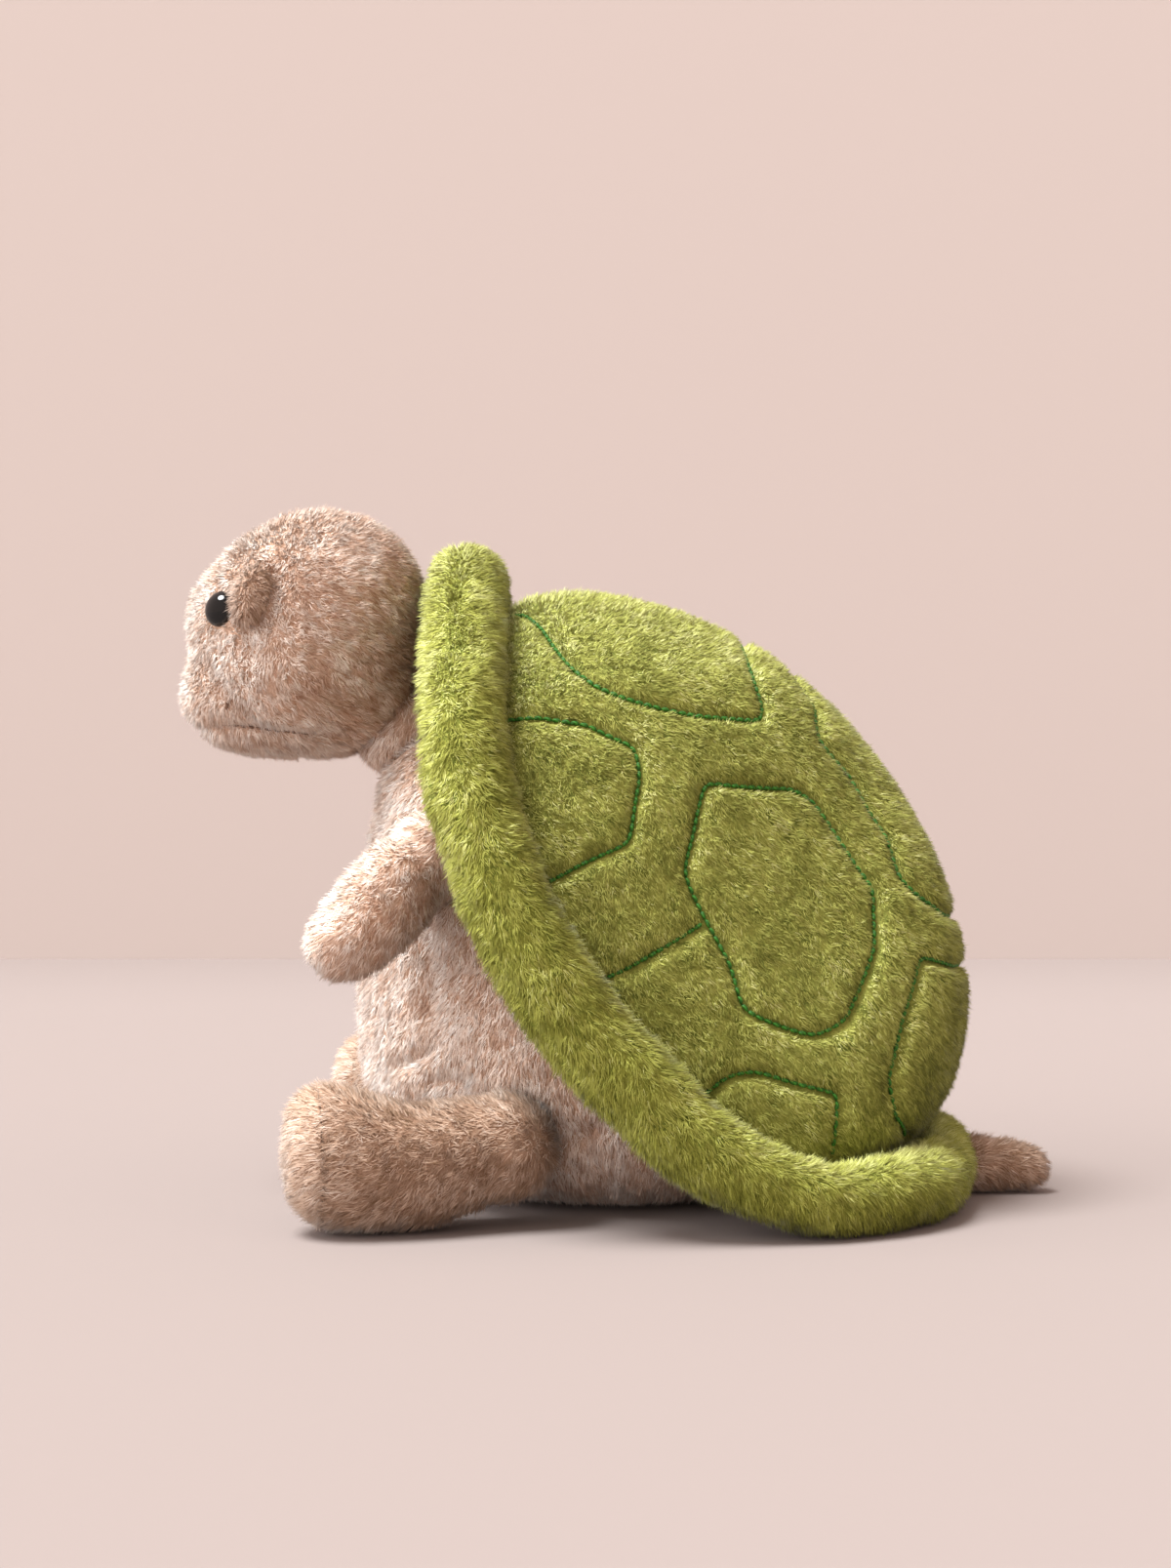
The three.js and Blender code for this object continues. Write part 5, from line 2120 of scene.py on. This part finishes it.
@dataclass
class HeadMaker:
    """The head's skin, face and stuffing, and the neck that it turns on; lengths in millimetres.

    Each swelling is a height and turn on the head, a rise and a reach. Each fold is a route of
    heights and turns, and its depth and half width. Each crease is a depth and a half width.
    """

    room: Room
    socket_gap: float = 1.0
    bare_depth: float = 1.5
    eye_margin: float = 1.6
    neck_margin: float = 2.5
    parting_reach: float = 3.2
    lid_thickness: float = 6.0
    lid_inset: float = 1.9
    lid_sink: float = 1.2
    lid_hem: float = 1.0
    lid_eye_reach: float = 7.4
    lid_margins: tuple[float, float] = (0.8, 0.6)
    lid_span: tuple[float, float] = (-100.0, 70.0)
    lid_crease: tuple[float, float] = (1.8, 2.4)
    lid_tufts: Tufts = Tufts(length=3.8, width=0.5, lean=45, per_square_mm=2.4, swirl=16)
    eye_dent: float = 2.4
    eye_dent_reach: float = 9.0
    eye_parting: float = 1.0
    flange_drop: float = 0.7
    flange_base: float = 1.0
    flange_bevel: float = 0.4
    shank_radius: float = 2.0
    ridges: int = 4
    first_ridge: float = 3.4
    ridge_pitch: float = 2.4
    ridge_profile: tuple[tuple[float, float], ...] = ((1.5, 1.0), (2.0, 0.0), (2.0, -0.5), (1.5, -0.9))
    shank_tip: tuple[tuple[float, float], ...] = ((1.9, -12.6), (1.4, -13.0))
    nostril_half: float = 1.9
    nostril_sink: float = 0.9
    nostril_stitch: Stitching = Stitching(radius=0.75, bow=0.2)
    mouth_crease: tuple[float, float] = (2.4, 3.2)
    mouth_sink: float = 3.2
    mouth_middle: float = 20.0
    mouth_stitch: Stitching = Stitching(length=3.2, pitch=3.6, radius=0.55, bow=0.3)
    neck_band: float = 17.0
    neck_tufts: Tufts = Tufts(length=4.4)
    swellings: tuple[tuple[float, float, float, float], ...] = (
        (0.19, 28.0, 3.2, 15.0),
        (0.44, 8.0, -2.4, 13.0),
        (0.36, 92.0, 1.6, 26.0),
        (0.82, 40.0, 1.2, 20.0),
        (0.06, 30.0, 1.2, 12.0),
    )
    folds: tuple[tuple[tuple[tuple[float, float], ...], float, float], ...] = (
        (((0.36, 38.0), (0.29, 52.0), (0.2, 62.0), (0.12, 66.0)), 1.6, 4.0),
        (((0.1, 70.0), (0.03, 84.0), (0.0, 90.0)), 1.4, 3.5),
        (((0.5, 84.0), (0.44, 70.0), (0.45, 58.0)), 1.0, 5.0),
    )

    def surface(self, depth: float, rings: int, sides: int) -> Surface:
        """The head's form, dented for the neck, the eyes and the mouth.

        Args:
            depth: How far under the pile's tips it lies, in millimetres.
            rings: Rows of faces.
            sides: Faces round each row.

        Returns:
            The surface.
        """
        head = self.room.head
        surface = head.form(rings, sides).moved(-depth)
        surface = creased(surface, [head.mouth(-depth, head.crease_turn)], *self.mouth_crease)
        for side in Side:
            for share, turn, rise, reach in self.swellings:
                surface = swollen(surface, head.at(share, turn, side.value)[0], rise, reach)
            for fold, press, width in self.folds:
                corners = np.array([head.at(share, turn, side.value)[0] for share, turn in fold])
                surface = creased(surface, [seam_curve(corners)], press, width)
        for side in Side:
            point, normal, _ = head.at(*head.eye, side.value)
            surface = swollen(surface, point - depth * normal, -self.eye_dent, self.eye_dent_reach)
            surface = creased(surface, [self.lid_edge(side) - normal * depth], *self.lid_crease)
        radius = head.neck_radius + self.socket_gap + depth - HEAD_CLOTH_DEPTH
        surface.points = out_of_ball(surface.points, self.room.neck_pivot, radius, UP)
        return surface

    def lid_edge(self, side: Side) -> Points:
        """The route behind and under a lid, where it is sewn down."""
        head = self.room.head
        halves = np.add((head.lid_half_width, head.lid_half_height), self.lid_margins)
        return head.ring(head.lid, halves, self.lid_span, side.value)

    def eye_edge(self, side: Side) -> Points:
        """The route round an eye, where its pile parts."""
        head = self.room.head
        return head.ring(head.eye, [head.eye_radius + self.eye_parting] * 2, (0.0, 360.0), side.value)

    def build(self) -> None:
        """Makes and dresses the head's pieces."""
        room, head = self.room, self.room.head
        skin = self.surface(HEAD_CLOTH_DEPTH, 90, 124)
        bare = [near_place(room.neck_pivot, head.neck_radius + self.neck_margin)]
        partings = [head.mouth(-HEAD_CLOTH_DEPTH, head.crease_turn)]
        for side in Side:
            bare.append(near_place(head.at(*head.eye, side.value)[0], head.eye_radius + self.eye_margin))
            partings += [self.eye_edge(side), self.lid_edge(side)]
        bare.append(any_deeper([room.body_solid, room.rim_solid], self.bare_depth))
        nap = Nap(head.comb, either(*bare), seed=23, seams=partings, seam_reach=self.parting_reach)
        bag = PlushBag("head_{}", "head", "taupe_plush", "head_skin", TAUPE_PILE, fill=0.85)
        bag.sew(skin, head.tufts, nap)
        wadding = lumpy(self.surface(HEAD_CLOTH_DEPTH + CLOTH_GAP, 34, 46), 0.5, 12, 31)
        add_wadding("head_wadding", wadding, "head", "head_filling", fill=0.8)
        for side in Side:
            self.build_eye(side)
            self.build_lid(side)
            self.build_nostril(side)
        self.build_mouth()
        self.build_neck()

    def build_eye(self, side: Side) -> None:
        """One eye: a polished dome on a flange and a ridged shank, and its washer's finish."""
        head = self.room.head
        point, axes = head.axes_at(*head.eye, side.value)
        arc = np.linspace(0, math.pi / 2, 14)
        profile = [(head.eye_radius * math.sin(a), head.eye_crown * math.cos(a)) for a in arc]
        profile.append((head.eye_radius, -self.flange_drop))
        profile.append((head.eye_radius - self.flange_bevel, -self.flange_base))
        profile.append((self.shank_radius, -self.flange_base))
        for ridge in range(self.ridges):
            low = -self.first_ridge - self.ridge_pitch * ridge
            profile += [(radius, low + height) for radius, height in self.ridge_profile]
        turned = lathe([*profile, *self.shank_tip], 44)
        turned.points = point - axes[2] * head.eye_sink + turned.points @ axes
        finish, node = BLACK_EYE.material(), f"eye_{side.label}"
        add_piece(f"eye_button_{side.label}", turned.outward(), finish, "head", "black_plastic", node)
        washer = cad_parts[f"eye_washer_{side.label}"]
        washer.data.materials.clear()
        washer.data.materials.append(WHITE_WASHER.material())

    def build_lid(self, side: Side) -> None:
        """One lid: a darker patch of short pile beside the eye."""
        head = self.room.head
        point, axes = head.axes_at(*head.lid, side.value)
        across, upright, normal = axes
        width, height = head.lid_half_width - self.lid_inset, head.lid_half_height - self.lid_inset
        halves = (self.lid_thickness, width, height)
        form = pillow(point - self.lid_sink * normal, halves, np.stack([normal, across, upright]))
        at_eye = near_place(head.at(*head.eye, side.value)[0], self.lid_eye_reach)

        def in_head(points: Points) -> np.ndarray:
            """True under the head's pile."""
            return (points - point) @ normal < -self.lid_hem

        nap = Nap(head.comb, either(at_eye, in_head), seed=41 + side.value)
        names = f"lid_{{}}_{side.label}"
        bag = PlushBag(names, "head", "brow_plush", f"eyelid_{side.label}", BROW_PILE, fill=0.7)
        bag.sew(ball_surface(form, 20, 26), self.lid_tufts, nap)

    def build_nostril(self, side: Side) -> None:
        """One nostril: a short stitch, sunk a little into the pile."""
        head = self.room.head
        point, normal, rise = head.at(*head.nostril, side.value)
        middle = point - normal * self.nostril_sink
        half = rise * self.nostril_half
        made = self.nostril_stitch.one(middle - half, middle + half, normal)
        finish, node = BROWN_THREAD.material(), f"nostril_thread_{side.label}"
        add_piece(f"nostril_stitch_{side.label}", made, finish, "head", "brown_thread", node)

    def build_mouth(self) -> None:
        """The mouth: a row of small stitches in its crease."""
        head = self.room.head
        middle = np.array([head.centre_x, 0, head.bottom + self.mouth_middle])
        row = self.mouth_stitch.row(head.mouth(-self.mouth_sink, head.mouth_turn), middle)
        add_piece("mouth_stitches", row, BROWN_THREAD.material(), "head", "brown_thread", "mouth_thread")

    def build_neck(self) -> None:
        """The neck: a ball of stuffing in its pile, between the two bags."""
        room = self.room
        form = pillow(room.neck_pivot, [room.head.neck_radius - CLOTH_DEPTH] * 3)

        def in_bags(points: Points) -> np.ndarray:
            """True above and below the band that shows."""
            return np.abs(points[:, 2] - room.neck_pivot[2]) > self.neck_band

        bag = PlushBag("neck_{}", "neck", "taupe_plush", "neck_filling", TAUPE_PILE, fill=0.8)
        bag.sew(ball_surface(form, 32, 44), self.neck_tufts, Nap(room.body.comb, in_bags, seed=53))


def lathe(profile: Sequence[tuple[float, float]], sides: int) -> Surface:
    """Turns an outline about the upright axis.

    Args:
        profile: Radius and height of each corner; both ends are closed with a middle point.
        sides: Faces round it.

    Returns:
        The closed surface.
    """
    rows = [corner for corner in profile if corner[0] > TINY]
    around = full_turn(sides)
    points = [
        np.stack([radius * np.cos(around), radius * np.sin(around), np.full(sides, height)], axis=1)
        for radius, height in rows
    ]
    points.append(np.array([[0.0, 0.0, profile[0][1]], [0.0, 0.0, profile[-1][1]]]))
    return Surface(np.vstack(points), capped_faces(len(rows), sides)).outward()


@dataclass
class LimbMaker:
    """The arms, the legs with their soles, and the tail; lengths in millimetres."""

    room: Room
    sole_share: float = 0.84
    body_depth: float = 3.0
    rim_depth: float = 2.0
    wadding_rest: float = 2.4
    shoulder_place: tuple[float, float, float] = (-24.0, 12.0, 4.0)
    shoulder_rise: float = 5.6
    shoulder_reach: float = 17.0
    tufts: Tufts = Tufts()

    def dress(
        self, limb: Limb, surface: Surface, name: str, body: str, node: str, hidden: PlaceTest, seed: int
    ) -> None:
        """Makes one bag's backing and pile.

        Args:
            limb: The limb, for its nap.
            surface: The bag's backing.
            name: The stem of the pieces' names.
            body: The body that carries it.
            node: The CAD node that it stands for.
            hidden: Where no pile grows.
            seed: Which random numbers of many.
        """
        pile = TAUPE_PILE if name.startswith("arm") else LIMB_PILE
        bag = PlushBag(name + "_{}", body, "taupe_plush", node, pile, fill=0.85)
        nap = Nap(limb.comb, either(hidden, at_floor), seed)
        bag.sew(grounded(surface, CLOTH_REST), self.tufts, nap)

    def stuff(self, limb: Limb, body: str, node: str) -> None:
        """Makes one limb's stuffing."""
        surface = lumpy(limb.sunk_by(CLOTH_DEPTH + CLOTH_GAP).form(20, 28), 0.4, 10, 61)
        add_wadding(f"{body}_wadding", grounded(surface, self.wadding_rest), body, node, fill=0.8)

    def build(self) -> None:
        """Makes and dresses every limb."""
        room = self.room
        in_body = any_deeper([room.body_solid], self.body_depth)
        for side in Side:
            label = side.label
            arm, body = room.arms[side], f"arm_{label}"
            shoulder = np.array(arm.pivot) + np.array(self.shoulder_place) * [1, side.value, 1]
            skin = arm.sunk_by(CLOTH_DEPTH).form(54, 60)
            skin = swollen(skin, shoulder, self.shoulder_rise, self.shoulder_reach)
            self.dress(arm, skin, body, body, f"arm_skin_{label}", in_body, 71 + side.value)
            self.stuff(arm, body, f"arm_filling_{label}")
            leg, body = room.legs[side], f"leg_{label}"
            sunk = leg.sunk_by(CLOTH_DEPTH)
            seam = 2 * self.sole_share - 1
            skin = sunk.form(60, 76, (-1.0, seam))
            self.dress(leg, skin, body, body, f"leg_skin_{label}", in_body, 81 + side.value)
            sole = sunk.form(24, 76, (seam, 1.0))
            self.dress(leg, sole, f"sole_{label}", body, f"sole_{label}", in_body, 91 + side.value)
            self.stuff(leg, body, f"leg_filling_{label}")
        in_rim = any_deeper([room.rim_solid], self.rim_depth)
        skin = room.tail.sunk_by(CLOTH_DEPTH).form(30, 40)
        self.dress(room.tail, skin, "tail", "tail", "tail_skin", in_rim, 101)
        self.stuff(room.tail, "tail", "tail_filling")


@dataclass
class ShellMaker:
    """The quilted shell: its cover, rim, lining, stuffing and stitches; lengths in millimetres."""

    room: Room
    cover_rings: int = 180
    cover_sides: int = 200
    cover_thickness: float = 3.0
    channel_depth: float = 3.0
    channel_width: float = 2.4
    puff: float = 0.3
    puff_reach: float = 26.0
    puff_span: tuple[float, float] = (-60.0, 20.0)
    bare_depth: float = 2.0
    core_depth: float = 1.2
    core_bowl: float = 34.0
    core_inside: float = 0.6
    body_gap: float = 0.6
    nap: tuple[float, float, float] = (0.8, 0.7, -0.5)
    nap_half_width: float = 60.0
    parting_reach: float = 4.0
    stitch_lift: float = 1.4
    stitch_end: float = 4.0
    stitch_middle: float = 60.0
    stitching: Stitching = Stitching()
    cover_tufts: Tufts = Tufts(
        length=3.3, width=0.46, lean=46, clump=0.6, clump_size=1.6, ruffle=0.46, ruffle_size=1.7
    )
    rim_tufts: Tufts = Tufts(length=4.1, width=0.5, lean=50, swirl=28, clump=0.8, ruffle=0.44)
    rim_nap: tuple[float, float, float] = (0.25, 0.0, -1.0)
    rim_lump: tuple[float, float] = (1.2, 20.0)
    seam_depth: float = 1.6
    seam_width: float = 2.6
    rim_gap: float = 0.8
    rim_bare_depth: float = 2.5
    head_overlap: float = 1.8
    tail_gap: float = 0.9
    wadding_gap: float = 2.4
    wadding_rest: float = 2.2
    lining_depth: float = 14.5
    lining_bowl: float = 33.0
    lining_gap: float = 0.8
    lining_rest: float = 1.0
    stuffing_depth: float = 17.0
    stuffing_bowl: float = 30.0
    stuffing_gap: float = 3.2
    stuffing_rest: float = 3.0

    def comb(self, points: Points, normals: Points) -> Points:
        """Pile brushed down the back and away from its middle."""
        down, aside, rise = self.nap
        side = np.clip(points[:, 1] / self.nap_half_width, -1, 1)
        spread = np.stack([0 * side, aside * side, rise * np.abs(side)], axis=1)
        return self.room.shell.direction(0) * down + spread

    def rim_comb(self, points: Points, normals: Points) -> Points:
        """Pile brushed down along the roll."""
        return np.broadcast_to(self.rim_nap, points.shape)

    def quilted(self, cover: Surface, lines: Sequence[Points]) -> Surface:
        """Presses the seams' channels into the cover and puffs the scutes between them.

        Args:
            cover: The plain cover, as a thin bowl.
            lines: The seams' routes.

        Returns:
            The cover, with its inside following its outside.
        """
        shell = self.room.shell
        distance, _ = nearest_line(cover.points, lines, self.puff_reach)
        height = (cover.points - np.array(shell.centre)) @ shell.direction(2)
        share = np.clip(distance / self.puff_reach, 0, 1)
        puff = self.puff * (1 - (1 - share) ** 2) * smooth_step(*self.puff_span, height)
        groove = self.channel_depth * np.exp(-((distance / self.channel_width) ** 2))
        polar = np.linspace(-math.pi / 2, math.pi / 2, self.cover_rings + 1)[1:-1]
        along = np.append(np.repeat(np.sin(polar), self.cover_sides), [-1.0, 1.0])
        outside = smooth_step(-0.05, 0.05, along)
        return cover.moved((puff - groove) * (2 * outside - 1))

    def build(self) -> None:
        """Makes and dresses the shell's pieces."""
        room, shell = self.room, self.room.shell
        lines = list(shell_seams(shell, -CLOTH_DEPTH).values())
        cover = shell.cover(CLOTH_DEPTH, self.cover_thickness, self.cover_rings, self.cover_sides)
        cover = self.quilted(cover, lines)
        cover.points = pushed_out(cover.points, [room.body_solid], self.body_gap, BACK, 30)
        under = any_deeper([room.rim_solid, room.body_solid], self.bare_depth)
        core = Solid(shell.cushion(CLOTH_DEPTH + self.core_depth, self.core_bowl, 48, 72))
        hidden = either(under, any_deeper([core], self.core_inside))
        nap = Nap(self.comb, hidden, seed=113, seams=lines, seam_reach=self.parting_reach)
        bag = PlushBag("cover_{}", "torso", "green_plush", "shell_cover", GREEN_PILE, fill=0.8)
        bag.sew(cover, self.cover_tufts, nap)
        self.build_rim()
        self.build_inside()
        self.build_stitches()

    def build_stitches(self) -> None:
        """The rows of stitches in the channels between the scutes."""
        shell = self.room.shell
        middle = np.array(shell.centre) - shell.direction(2) * self.stitch_middle
        in_rim = any_deeper([self.room.rim_solid], self.stitch_end)
        over = self.stitch_lift - CLOTH_DEPTH - self.channel_depth
        for name, route in shell_seams(shell, over).items():
            row = self.stitching.row(route[~in_rim(route)], middle)
            finish, node = GREEN_THREAD.material(), f"seam_thread_{name}"
            add_piece(f"stitches_{name}", row, finish, "torso", "green_thread", node)

    def build_rim(self) -> None:
        """The rim roll with its pile and stuffing."""
        room, shell = self.room, self.room.shell
        seam = shell.rim_seam(RIM_CLOTH_DEPTH)
        rim = lumpy(shell.rim(RIM_CLOTH_DEPTH, 300, 40), *self.rim_lump, 127)
        rim = creased(rim, [seam], self.seam_depth, self.seam_width)
        keep_out = [room.body_solid, *room.head_sweep]
        tail, radius = np.array(room.tail.pivot), room.tail.radius
        rim.points = pushed_out(rim.points, keep_out, self.rim_gap, BACK, 30)
        rim.points = out_of_ball(rim.points, tail, radius + self.tail_gap, -BACK)
        under = any_deeper([room.dome_solid, room.body_solid, room.tail_solid], self.rim_bare_depth)
        at_head = any_deeper(room.head_sweep, -self.head_overlap)
        hidden = either(under, at_head, at_floor)
        nap = Nap(self.rim_comb, hidden, seed=131, seams=[seam], seam_reach=self.parting_reach)
        bag = PlushBag("rim_{}", "torso", "lime_plush", "shell_rim", LIME_PILE, fill=0.85)
        bag.sew(grounded(rim, CLOTH_REST), self.rim_tufts, nap)
        stuffing = shell.rim(RIM_CLOTH_DEPTH + CLOTH_GAP + 0.8, 120, 18)
        stuffing.points = pushed_out(stuffing.points, keep_out, self.wadding_gap, BACK, 30)
        stuffing.points = out_of_ball(stuffing.points, tail, radius + self.wadding_gap, -BACK)
        stuffing = grounded(stuffing, self.wadding_rest)
        add_wadding("rim_wadding", stuffing, "torso", "rim_filling", fill=0.8)

    def build_inside(self) -> None:
        """The lining and the stuffing under the cover."""
        shell, body = self.room.shell, [self.room.body_solid]
        lining = lumpy(shell.cushion(self.lining_depth, self.lining_bowl, 44, 60), 0.6, 18, 137)
        lining.points = pushed_out(lining.points, body, self.lining_gap, BACK, 80)
        lining = grounded(lining, self.lining_rest)
        finish = LINING_CLOTH.material()
        add_piece("woven_lining", lining, finish, "torso", "lining_cloth", "shell_lining", fill=0.7)
        core = lumpy(shell.cushion(self.stuffing_depth, self.stuffing_bowl, 32, 44), 0.5, 14, 139)
        core.points = pushed_out(core.points, body, self.stuffing_gap, BACK, 80)
        core = grounded(core, self.stuffing_rest)
        add_wadding("shell_wadding", core, "torso", "shell_filling", fill=0.7)


# Studio


@dataclass(frozen=True)
class Lamp:
    """A soft lamp far away: where its light comes from, its spread in degrees, and its strength."""

    name: str
    place: tuple[float, float, float]
    spread: float
    strength: float
    tint: str
    glints: bool = False

    def hang(self) -> None:
        """Puts the lamp into the scene; only one that glints shows in polished pieces."""
        sun = bpy.data.lights.new(self.name, "SUN")
        sun.color = linear_rgba(self.tint)[:3]
        sun.angle = math.radians(self.spread)
        sun.energy = self.strength
        lamp = bpy.data.objects.new(self.name, sun)
        lamp.rotation_euler = (-Vector(self.place)).to_track_quat("-Z", "Y").to_euler()
        lamp.visible_glossy = self.glints
        bpy.context.scene.collection.objects.link(lamp)


@dataclass
class Studio:
    """Pale floor and wall, soft light from the upper left, and the camera; lengths in millimetres."""

    camera_place: tuple[float, float, float] = (-12.2, -1050.0, 167.0)
    focal_pixels: float = 2625.0
    sensor_height: float = 36.0
    view_end: float = 50_000.0
    wall_distance: float = 1392.0
    half_extent: float = 5000.0
    lamps: tuple[Lamp, ...] = (
        Lamp("key", (-0.36, -0.16, 0.92), 30.0, 7.2, "f8fdff", glints=True),
        Lamp("fill", (-0.9, -0.3, 0.25), 60.0, 3.3, "f9fcff"),
        Lamp("front", (-0.35, -0.93, 0.1), 70.0, 1.0, "fff8f4"),
    )
    air_strength: float = 1.0
    air_tint: str = "ffe7dc"

    def build_camera(self) -> None:
        """The camera at the photograph's place, level and looking along +Y."""
        data = bpy.data.cameras.new("photo_camera")
        data.sensor_fit = "VERTICAL"
        data.sensor_height = self.sensor_height
        data.lens = self.focal_pixels * self.sensor_height / PHOTO_HEIGHT
        data.clip_end = self.view_end * MM
        camera = bpy.data.objects.new("photo_camera", data)
        camera.location = [value * MM for value in self.camera_place]
        camera.rotation_euler = (math.pi / 2, 0, 0)
        bpy.context.scene.collection.objects.link(camera)
        bpy.context.scene.camera = camera

    def plane(self, name: str, corners: Sequence[Sequence[float]], material: bpy.types.Material) -> None:
        """One flat part of the set, from its four corners in millimetres."""
        piece = surface_object(name, Surface(np.array(corners, float), [(0, 1, 2, 3)]), [material])

    def build_set(self) -> None:
        """The floor and the wall."""
        wide, back = self.half_extent, self.wall_distance
        floor = [(-wide, -wide, 0), (wide, -wide, 0), (wide, back, 0), (-wide, back, 0)]
        self.plane("studio_floor", floor, STUDIO_FLOOR.material())
        wall = [(-wide, back, 0), (wide, back, 0), (wide, back, wide), (-wide, back, wide)]
        self.plane("studio_wall", wall, STUDIO_WALL.material())

    def build_light(self) -> None:
        """A wide soft key from above, weaker ones from the left and the front, and an even pale surround."""
        for lamp in self.lamps:
            lamp.hang()
        world = bpy.data.worlds.new("studio_air")
        world.use_nodes = True
        background = world.node_tree.nodes["Background"]
        background.inputs["Color"].default_value = linear_rgba(self.air_tint)
        background.inputs["Strength"].default_value = self.air_strength
        bpy.context.scene.world = world
        bpy.context.scene.view_settings.view_transform = "Standard"


def main() -> None:
    """Builds the turtle and its studio."""
    logging.basicConfig(level=logging.INFO, format="%(message)s")
    studio = Studio()
    studio.build_camera()
    room = Room()
    TorsoMaker(room).build()
    HeadMaker(room).build()
    LimbMaker(room).build()
    ShellMaker(room).build()
    studio.build_set()
    studio.build_light()


if __name__ == "__main__":
    main()
